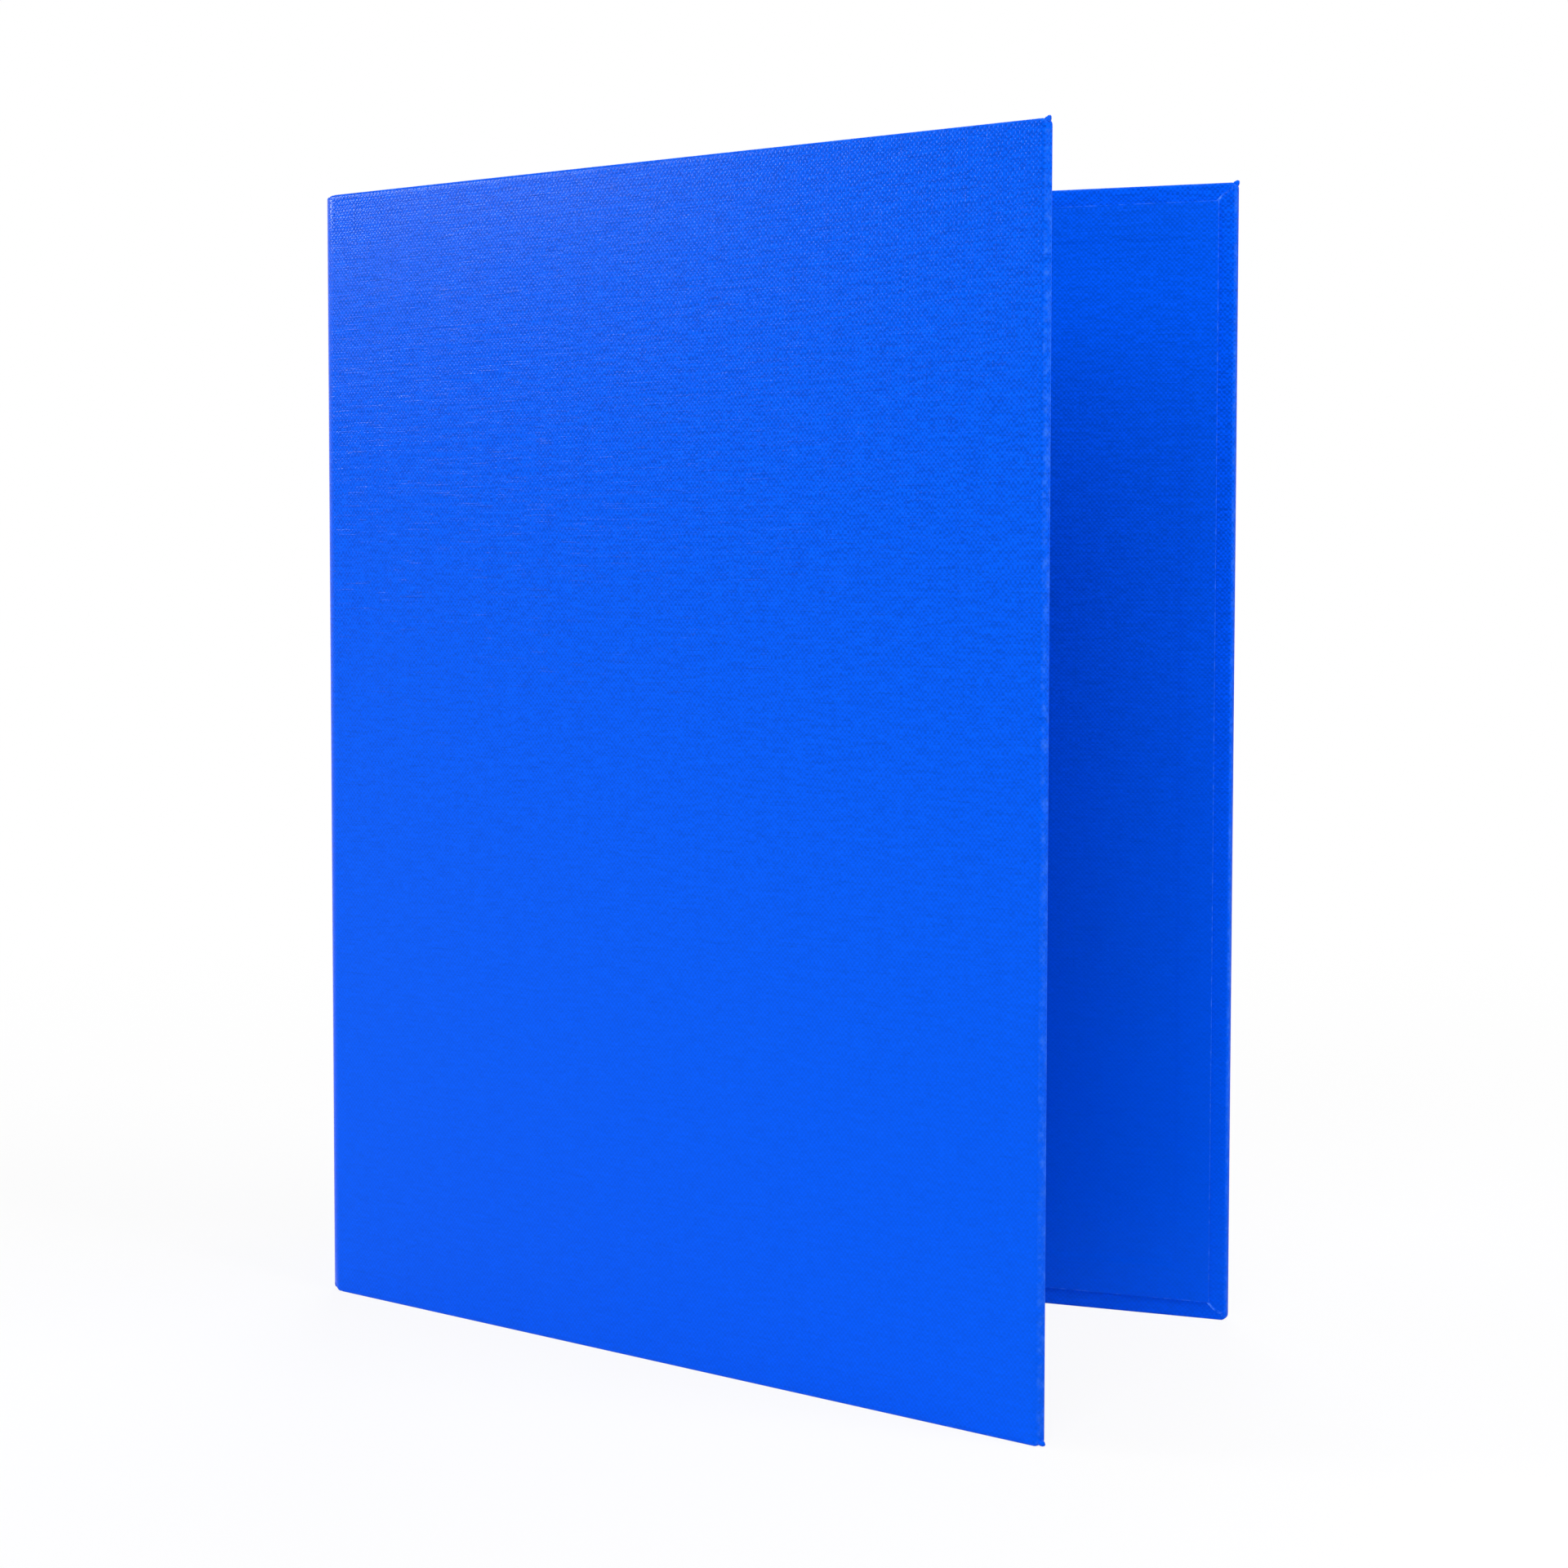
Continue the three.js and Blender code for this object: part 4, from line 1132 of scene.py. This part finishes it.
def lever(level, side):
    """A thumb lever: strip, hub rolled round the pin, the jaw's lips, and the pin itself."""
    place = (0, PIVOT_HEIGHT, side * (HOUSING_LENGTH / 2 - LEVER_PIN_INSET))
    seat = MECHANISM @ Matrix.Translation(place)
    if side < 0:
        seat = seat @ Matrix.Rotation(math.pi, 4, "Y")
    draft = Draft(seat @ Matrix.Rotation(-LEVER_SWING, 4, "X"))
    lever_strip(draft)

    bore, hub, end = LEVER_PIN / 2 + LEVER_PLAY, LEVER_HUB / 2, LEVER_HALF
    along_x = Matrix.Rotation(-math.pi / 2, 4, "Z")
    outline = [(bore, -end), (hub - HUB_SOFT, -end), (hub, -end + HUB_SOFT)]
    outline += [(radius, -height) for radius, height in reversed(outline)]
    turned(draft, outline, along_x)
    for lip in (-1, 1):
        low, high = sorted((lip * JAW_OPENING / 2, lip * (JAW_OPENING / 2 + JAW_SHEET)))
        start = -LEVER_PIN / 2 - JAW_START
        soft_box(draft, (-JAW_HALF, low, -JAW_REACH), (JAW_HALF, high, start), JAW_SOFT)
    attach(nickelled(draft, f"{level}_thumb_tab", f"{level}_lever"), f"{level}_thumb_lever")

    pin = Draft(seat)
    wall = HOUSING_HALF + GLUE_LINE
    head, top, soft = LEVER_PIN_HEAD / 2, wall + LEVER_PIN_HEAD_SHEET, LEVER_PIN_SOFT
    outline = [(0, -top), (head - soft, -top), (head, soft - top), (head, -wall), (LEVER_PIN / 2, -wall)]
    outline += [(radius, -height) for radius, height in reversed(outline)]
    turned(pin, outline, along_x)
    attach(nickelled(pin, f"{level}_pin", f"{level}_lever_pin"), "back_cover")


# Shader nodes

class Wiring:
    """A node tree being wired: most of its methods add a node and give back what it puts out."""

    def __init__(self, tree):
        self.tree = tree

    def feed(self, socket, value):
        if isinstance(value, bpy.types.NodeSocket):
            self.tree.links.new(value, socket)
        else:
            socket.default_value = value

    def node(self, kind, inputs=None, **settings):
        made = self.tree.nodes.new(kind)
        for name, value in settings.items():
            setattr(made, name, value)
        for name, value in (inputs or {}).items():
            self.feed(made.inputs[name], value)
        return made

    def maths(self, operation, *values):
        inputs = dict(enumerate(values))
        return self.node("ShaderNodeMath", inputs, operation=operation).outputs[0]

    def times(self, first, second):
        return self.maths("MULTIPLY", first, second)

    def plus(self, first, second):
        return self.maths("ADD", first, second)

    def minus(self, first, second):
        return self.maths("SUBTRACT", first, second)

    def times_plus(self, first, second, third):
        return self.maths("MULTIPLY_ADD", first, second, third)

    def remap(self, value, low, high, to_low=0.0, to_high=1.0):
        inputs = {"Value": value, "From Min": low, "From Max": high, "To Min": to_low, "To Max": to_high}
        return self.node("ShaderNodeMapRange", inputs, interpolation_type="SMOOTHSTEP").outputs["Result"]

    def blend(self, share, first, second):
        made = self.node("ShaderNodeMix", {"Factor": share}, data_type="RGBA")
        colours = [socket for socket in made.inputs if socket.type == "RGBA"]
        for socket, colour in zip(colours, (first, second)):
            self.feed(socket, (*colour, 1.0) if isinstance(colour, tuple) else colour)
        return next(socket for socket in made.outputs if socket.type == "RGBA")

    def vector(self, x, y, z=0.0):
        return self.node("ShaderNodeCombineXYZ", {"X": x, "Y": y, "Z": z}).outputs[0]

    def parts(self, vector):
        return self.node("ShaderNodeSeparateXYZ", {"Vector": vector}).outputs

    def stretched(self, s, t, across, along, shift=0.0):
        return self.vector(self.times(s, across), self.times(t, along), shift)

    def noise(self, vector, scale, detail=2.0, roughness=0.5):
        inputs = {"Vector": vector, "Scale": scale, "Detail": detail, "Roughness": roughness}
        return self.node("ShaderNodeTexNoise", inputs).outputs["Fac"]

    def object_place(self):
        return self.node("ShaderNodeTexCoord").outputs["Object"]

    def sheet_place(self):
        return self.node("ShaderNodeAttribute", attribute_name="sheet").outputs["Vector"]

    def group(self, group, **inputs):
        made = self.tree.nodes.new("ShaderNodeGroup")
        made.node_tree = group
        for name, value in inputs.items():
            self.feed(made.inputs[name], value)
        return made.outputs

    def seen(self):
        """1 to the camera, in reflections and through clear film, and 0 as light on the object."""
        path = self.node("ShaderNodeLightPath").outputs
        direct = self.maths("MAXIMUM", path["Is Camera Ray"], path["Is Glossy Ray"])
        return self.maths("MAXIMUM", direct, path["Is Transmission Ray"])


def shader_group(name, place, amounts, outputs):
    """A node group with a vector and float inputs, and float outputs."""
    group = bpy.data.node_groups.new(name, "ShaderNodeTree")
    group.interface.new_socket(name=place, in_out="INPUT", socket_type="NodeSocketVector")
    for label in amounts:
        group.interface.new_socket(name=label, in_out="INPUT", socket_type="NodeSocketFloat")
    for label in outputs:
        group.interface.new_socket(name=label, in_out="OUTPUT", socket_type="NodeSocketFloat")
    entry = group.nodes.new("NodeGroupInput")
    leave = group.nodes.new("NodeGroupOutput")
    return group, Wiring(group), entry.outputs, leave.inputs


def linen_emboss_group():
    """The plain weave pressed into the foil, with slubs, from a sheet position in millimetres."""
    outputs = ("Height", "Tone", "Mottle")
    group, wires, given, result = shader_group("Linen Emboss", "Sheet", ("Pitch", "Slubs"), outputs)
    split = wires.parts(given["Sheet"])
    s, t = split["X"], split["Y"]
    threads = []
    for position, across, along in ((s, 0.5, 0.03), (t, 0.03, 0.5)):
        waver = wires.minus(wires.noise(wires.stretched(s, t, across, along), 1.0), 0.5)
        moved = wires.times_plus(waver, THREAD_WAVER, position)
        turn = wires.times(wires.maths("DIVIDE", moved, given["Pitch"]), math.pi)
        threads.append(wires.maths("SINE", turn))
    crossing = wires.times(*threads)
    crowns = wires.plus(*[wires.maths("ABSOLUTE", thread) for thread in threads])
    weave = wires.plus(wires.times(crossing, 0.3), wires.times(crowns, 0.2))
    slubs = []
    for across, along, low, shift in ((0.075, 1.7, 0.62, 0.0), (1.7, 0.075, 0.68, 40.0)):
        place = wires.stretched(s, t, across, along, shift)
        slubs.append(wires.remap(wires.noise(place, 1.0, 1.0), low, low + 0.12))
    slub = wires.times(wires.maths("MAXIMUM", *slubs), given["Slubs"])
    relief_and_painted_light = wires.remap(t, *WEAVE_FADE, FAINTEST_WEAVE, 1.0)
    wires.feed(result["Height"], wires.times(wires.plus(weave, slub), relief_and_painted_light))
    tone = wires.times(crossing, 0.9)
    for across, along, strength in ((0.5, 1.3, 4.0), (0.14, 0.8, 3.5)):
        place = wires.stretched(s, t, across, along)
        streak = wires.minus(wires.noise(place, 1.0, 4.0, 0.75), 0.5)
        tone = wires.times_plus(streak, strength, tone)
    # The weave's tone fades towards the foot with the relief: painted light and shade of the emboss, strongest
    # towards the head.
    tone = wires.times(wires.times_plus(slub, -1.8, tone), relief_and_painted_light)
    wires.feed(result["Tone"], wires.times_plus(tone, 0.5, 0.5))
    wires.feed(result["Mottle"], wires.noise(given["Sheet"], 0.035, 3.0, 0.6))
    return group


def rubbing_highlight_and_dust_group():
    """Lighter patches along edges and a few dust specks, from a sheet position in millimetres. The patches are
    rubbing on rounded edges and tucks, and on cut edges the foil's pale core with a painted highlight.
    """
    outputs = ("Rubbing And Highlight", "Dusty")
    group, wires, given, result = shader_group("Edge Wear And Dust", "Sheet", ("Wear", "Dust"), outputs)
    split = wires.parts(given["Sheet"])
    flat = wires.vector(split["X"], split["Y"])
    patches = wires.remap(wires.noise(flat, 0.35, 4.0, 0.7), 0.42, 0.75)
    wires.feed(result["Rubbing And Highlight"], wires.times(wires.times(split["Z"], patches), given["Wear"]))
    cell = wires.node("ShaderNodeTexVoronoi", {"Vector": flat, "Scale": SPECK_SCALE, "Randomness": 1.0})
    near = wires.remap(cell.outputs["Distance"], *SPECK_SIZES, 1.0, 0.0)
    tone = wires.node("ShaderNodeSeparateColor", {"Color": cell.outputs["Color"]}).outputs[0]
    specks = wires.times(near, wires.maths("GREATER_THAN", tone, SPECKLESS))
    wires.feed(result["Dusty"], wires.times(specks, given["Dust"]))
    return group


def plating_group():
    """Handling marks and fine polishing lines on plated steel."""
    outputs = ("Smudges", "Lines")
    group, wires, given, result = shader_group("Plating Marks", "Place", ("Smudge", "Polish"), outputs)
    cloud = wires.noise(given["Place"], 55.0, 4.0, 0.62)
    wires.feed(result["Smudges"], wires.times(wires.remap(cloud, 0.42, 0.72), given["Smudge"]))
    scale = {0: given["Place"], 1: (260.0, 260.0, 2600.0)}
    stretch = wires.node("ShaderNodeVectorMath", scale, operation="MULTIPLY")
    lines = wires.noise(stretch.outputs[0], 1.0, 3.0, 0.6)
    wires.feed(result["Lines"], wires.times(lines, given["Polish"]))
    return group


def fibre_group():
    """Short paper fibres and cloudiness."""
    group, wires, given, result = shader_group("Paper Fibre", "Place", ("Size",), ("Fibre", "Cloud"))
    inputs = {0: given["Place"], "Scale": given["Size"]}
    fine = wires.node("ShaderNodeVectorMath", inputs, operation="SCALE")
    wires.feed(result["Fibre"], wires.noise(fine.outputs[0], 1.0, 6.0, 0.75))
    wires.feed(result["Cloud"], wires.noise(given["Place"], 60.0, 3.0, 0.5))
    return group


LINEN = linen_emboss_group()
RUBBING_HIGHLIGHT_AND_DUST = rubbing_highlight_and_dust_group()
PLATING = plating_group()
FIBRE = fibre_group()


class Finish(Wiring):
    """A new material's nodes, with its Principled shader, whose sockets are set by name."""

    def __init__(self, name, **constants):
        self.material = bpy.data.materials.new(name)
        self.material.use_nodes = True
        super().__init__(self.material.node_tree)
        self.shader = self.tree.nodes["Principled BSDF"]
        self.set(**constants)

    def set(self, **inputs):
        for label, value in inputs.items():
            self.feed(self.shader.inputs[label.replace("_", " ")], value)

    def bump(self, strength, distance, height):
        inputs = {"Strength": strength, "Distance": distance, "Height": height}
        self.set(Normal=self.node("ShaderNodeBump", inputs).outputs["Normal"])
        return self.material


def linen_material(name, colour, depth, slubs, rubbing_and_highlight, contrast):
    finish = Finish(name, Specular_IOR_Level=0.05, Specular_Tint=SHEEN_BLUE)
    place = finish.sheet_place()
    linen = finish.group(LINEN, Sheet=place, Pitch=WEAVE_PITCH, Slubs=slubs)
    marks = finish.group(RUBBING_HIGHLIGHT_AND_DUST, Sheet=place, Wear=rubbing_and_highlight, Dust=0.8)
    deeper = tuple(channel * (1 - contrast) for channel in colour)
    lighter = tuple(min(1.0, channel * (1 + contrast)) for channel in colour)
    tone = finish.blend(linen["Tone"], deeper, lighter)
    # Edges turn a paler blue: rubbing on rounded edges and tucks, and on cut edges the foil's pale core with a
    # painted highlight.
    tone = finish.blend(marks["Rubbing And Highlight"], tone, RUBBED_AND_HIGHLIT_BLUE)
    gloss = finish.remap(linen["Mottle"], 0.3, 0.7, *FOIL_GLOSS)
    edge = finish.parts(place)["Z"]
    finish.set(
        Base_Color=finish.blend(marks["Dusty"], tone, DUST),
        Roughness=finish.times_plus(edge, EDGE_MATTING, gloss),
    )
    return finish.bump(1.0, depth, linen["Height"])


def nickel_material():
    finish = Finish("nickel plate", Metallic=1.0)
    marks = finish.group(PLATING, Place=finish.object_place(), Smudge=1.0, Polish=1.0)
    smudges = marks["Smudges"]
    finish.set(
        Base_Color=finish.blend(smudges, NICKEL, tuple(channel * SMUDGED for channel in NICKEL)),
        Roughness=finish.remap(smudges, 0.0, 1.0, *NICKEL_GLOSS),
    )
    return finish.bump(0.25, 2e-6, marks["Lines"])


def paper_material(name, fibre_size, tone_from, dark, light, bump, **constants):
    finish = Finish(name, **constants)
    paper = finish.group(FIBRE, Place=finish.object_place(), Size=fibre_size)
    finish.set(Base_Color=finish.blend(paper[tone_from], dark, light))
    return finish.bump(*bump, paper["Fibre"])


def film_material():
    finish = Finish("clear film", Base_Color=FILM_TINT, Roughness=0.14, Specular_IOR_Level=0.5)
    split = finish.parts(finish.sheet_place())
    from_middle = finish.maths("ABSOLUTE", finish.minus(split["X"], SPINE_WIDTH / 2))
    from_side = finish.minus(POCKET_WIDTH / 2, from_middle)
    inward = finish.maths("MINIMUM", from_side, finish.minus(split["Y"], POCKET_FOOT))
    weld = finish.remap(inward, POCKET_WELD - 0.4, POCKET_WELD, 1.0, 0.0)
    slant = finish.plus(split["X"], split["Y"])
    ribs = finish.maths("SINE", finish.times(slant, 2 * math.pi / WELD_PITCH))
    finish.set(Alpha=finish.remap(weld, 0.0, 1.0, *FILM_ALPHA))
    return finish.bump(0.6, 4e-5, finish.times(weld, ribs))


foil = linen_material("linen foil", FOIL_BLUE, 5e-5, 0.35, 0.4, 0.28)
# On the liner the lightening falls only on its cut edges: their pale core, with a painted highlight.
liner = linen_material("linen liner", LINER_BLUE, 4.5e-5, 0.3, 0.9, 0.18)
nickel = nickel_material()
grey_board = paper_material(
    "grey board", 2200.0, "Fibre", GREY_BOARD_DARK, GREY_BOARD, (0.5, 5e-5),
    Roughness=0.9, Specular_IOR_Level=0.2,
)
card_paper = paper_material(
    "label card", 3200.0, "Cloud", CARD_SHADE, CARD_WHITE, (0.4, 1e-5),
    Roughness=0.75, Specular_IOR_Level=0.3,
)
clear_film = film_material()


# Putting the binder together

def dress_case():
    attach(wrapped_cover("front_wrap", FRONT, front_sheet, ("front_covering",)), "front_cover")
    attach(wrapped_cover("back_wrap", BACK, back_sheet, ("back_covering",)), "back_cover")
    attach(spine_wrap(), "spine")
    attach(lining("front_lining", FRONT, front_sheet, True, "front_liner"), "front_cover")
    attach(lining("back_lining", BACK, back_sheet, True, "back_liner"), "back_cover")
    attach(lining("spine_lining", SPINE, spine_sheet, False, "spine_liner"), "spine")
    fold("front_fold", "front_cover", FRONT, front_sheet, "front_hinge_strip")
    fold("back_fold", "back_cover", BACK, back_sheet, "back_hinge_strip")
    tuck("front_head_tuck", FRONT, front_sheet, True, 0.3, TUCK_RISE, "front_cover")
    tuck("front_foot_tuck", FRONT, front_sheet, False, -1.0, TUCK_RISE, "front_cover")
    tuck("back_head_tuck", BACK, back_sheet, False, 0.2, TUCK_RISE, "back_cover")
    tuck("back_foot_tuck", BACK, back_sheet, True, -0.5, TUCK_RISE * 0.4, "back_cover")


def dress_mechanism():
    housing()
    rings()
    rivets()
    for level, side in (("upper", -1), ("lower", 1)):
        lever(level, side)


def finish_kept_nodes():
    """Materials for the solids that show, or lie inside, as they are."""
    boards = ("front_board", "back_board", "spine_board")
    steel = ("post_carrier_plate", "bow_carrier_plate", "upper_rivet_spacer", "lower_rivet_spacer")
    for names, material in ((boards, grey_board), (steel, nickel)):
        for name in names:
            for slot in frame["nodes"][name].material_slots:
                slot.material = material


# Stage, lights and camera

def stage():
    mesh = bpy.data.meshes.new("floor")
    signs = ((-1, -1), (1, -1), (1, 1), (-1, 1))
    corners = [(FLOOR_HALF * across, FLOOR_HALF * along, 0) for across, along in signs]
    mesh.from_pydata(corners, [], [(0, 1, 2, 3)])
    floor = put_in_scene("floor", mesh)
    material = bpy.data.materials.new("pale floor")
    material.use_nodes = True
    material.node_tree.nodes.clear()
    wires = Wiring(material.node_tree)
    matte = wires.node("ShaderNodeBsdfDiffuse", {"Color": FLOOR_GREY})
    glow = wires.node("ShaderNodeEmission", {"Color": WHITE, "Strength": 1.0})
    far = wires.node("ShaderNodeVectorMath", {0: wires.object_place()}, operation="LENGTH")
    white = wires.remap(far.outputs["Value"], *FLOOR_FADE, FLOOR_WHITE, 1.0)
    share = wires.times(wires.seen(), white)
    inputs = {0: share, 1: matte.outputs[0], 2: glow.outputs[0]}
    mixed = wires.node("ShaderNodeMixShader", inputs)
    wires.node("ShaderNodeOutputMaterial", {"Surface": mixed.outputs[0]})
    floor.data.materials.append(material)


def world_light():
    world = bpy.data.worlds.new("studio")
    bpy.context.scene.world = world
    world.use_nodes = True
    wires = Wiring(world.node_tree)
    background = world.node_tree.nodes["Background"]
    background.inputs["Color"].default_value = WHITE
    inputs = {"Value": wires.seen(), "To Min": WORLD_LIGHT, "To Max": 1.0}
    wires.feed(background.inputs["Strength"], wires.node("ShaderNodeMapRange", inputs).outputs["Result"])


def area_lamp(name, place, target, size, power):
    lamp = bpy.data.lights.new(name, "AREA")
    lamp.shape = "RECTANGLE"
    lamp.size, lamp.size_y = size
    lamp.energy = power
    obj = put_in_scene(name, lamp)
    obj.location = place
    obj.rotation_euler = (Vector(target) - Vector(place)).to_track_quat("-Z", "Y").to_euler()


def camera():
    data = bpy.data.cameras.new("portrait")
    data.lens = CAMERA_LENS
    data.sensor_width = CAMERA_SENSOR
    data.sensor_fit = "HORIZONTAL"
    data.clip_start = 0.05
    data.clip_end = 50
    obj = put_in_scene("portrait", data)
    aim = Matrix.Rotation(CAMERA_YAW, 4, "Z") @ Matrix.Rotation(math.pi / 2 + CAMERA_PITCH, 4, "X")
    obj.matrix_world = Matrix.Translation(CAMERA_PLACE) @ aim @ Matrix.Rotation(CAMERA_ROLL, 4, "Z")
    bpy.context.scene.camera = obj


camera()
dress_case()
finger_ring()
label_pocket()
dress_mechanism()
finish_kept_nodes()
stage()
world_light()
for lamp_name, settings in LAMPS.items():
    area_lamp(lamp_name, *settings)
bpy.context.scene.view_settings.view_transform = "Standard"
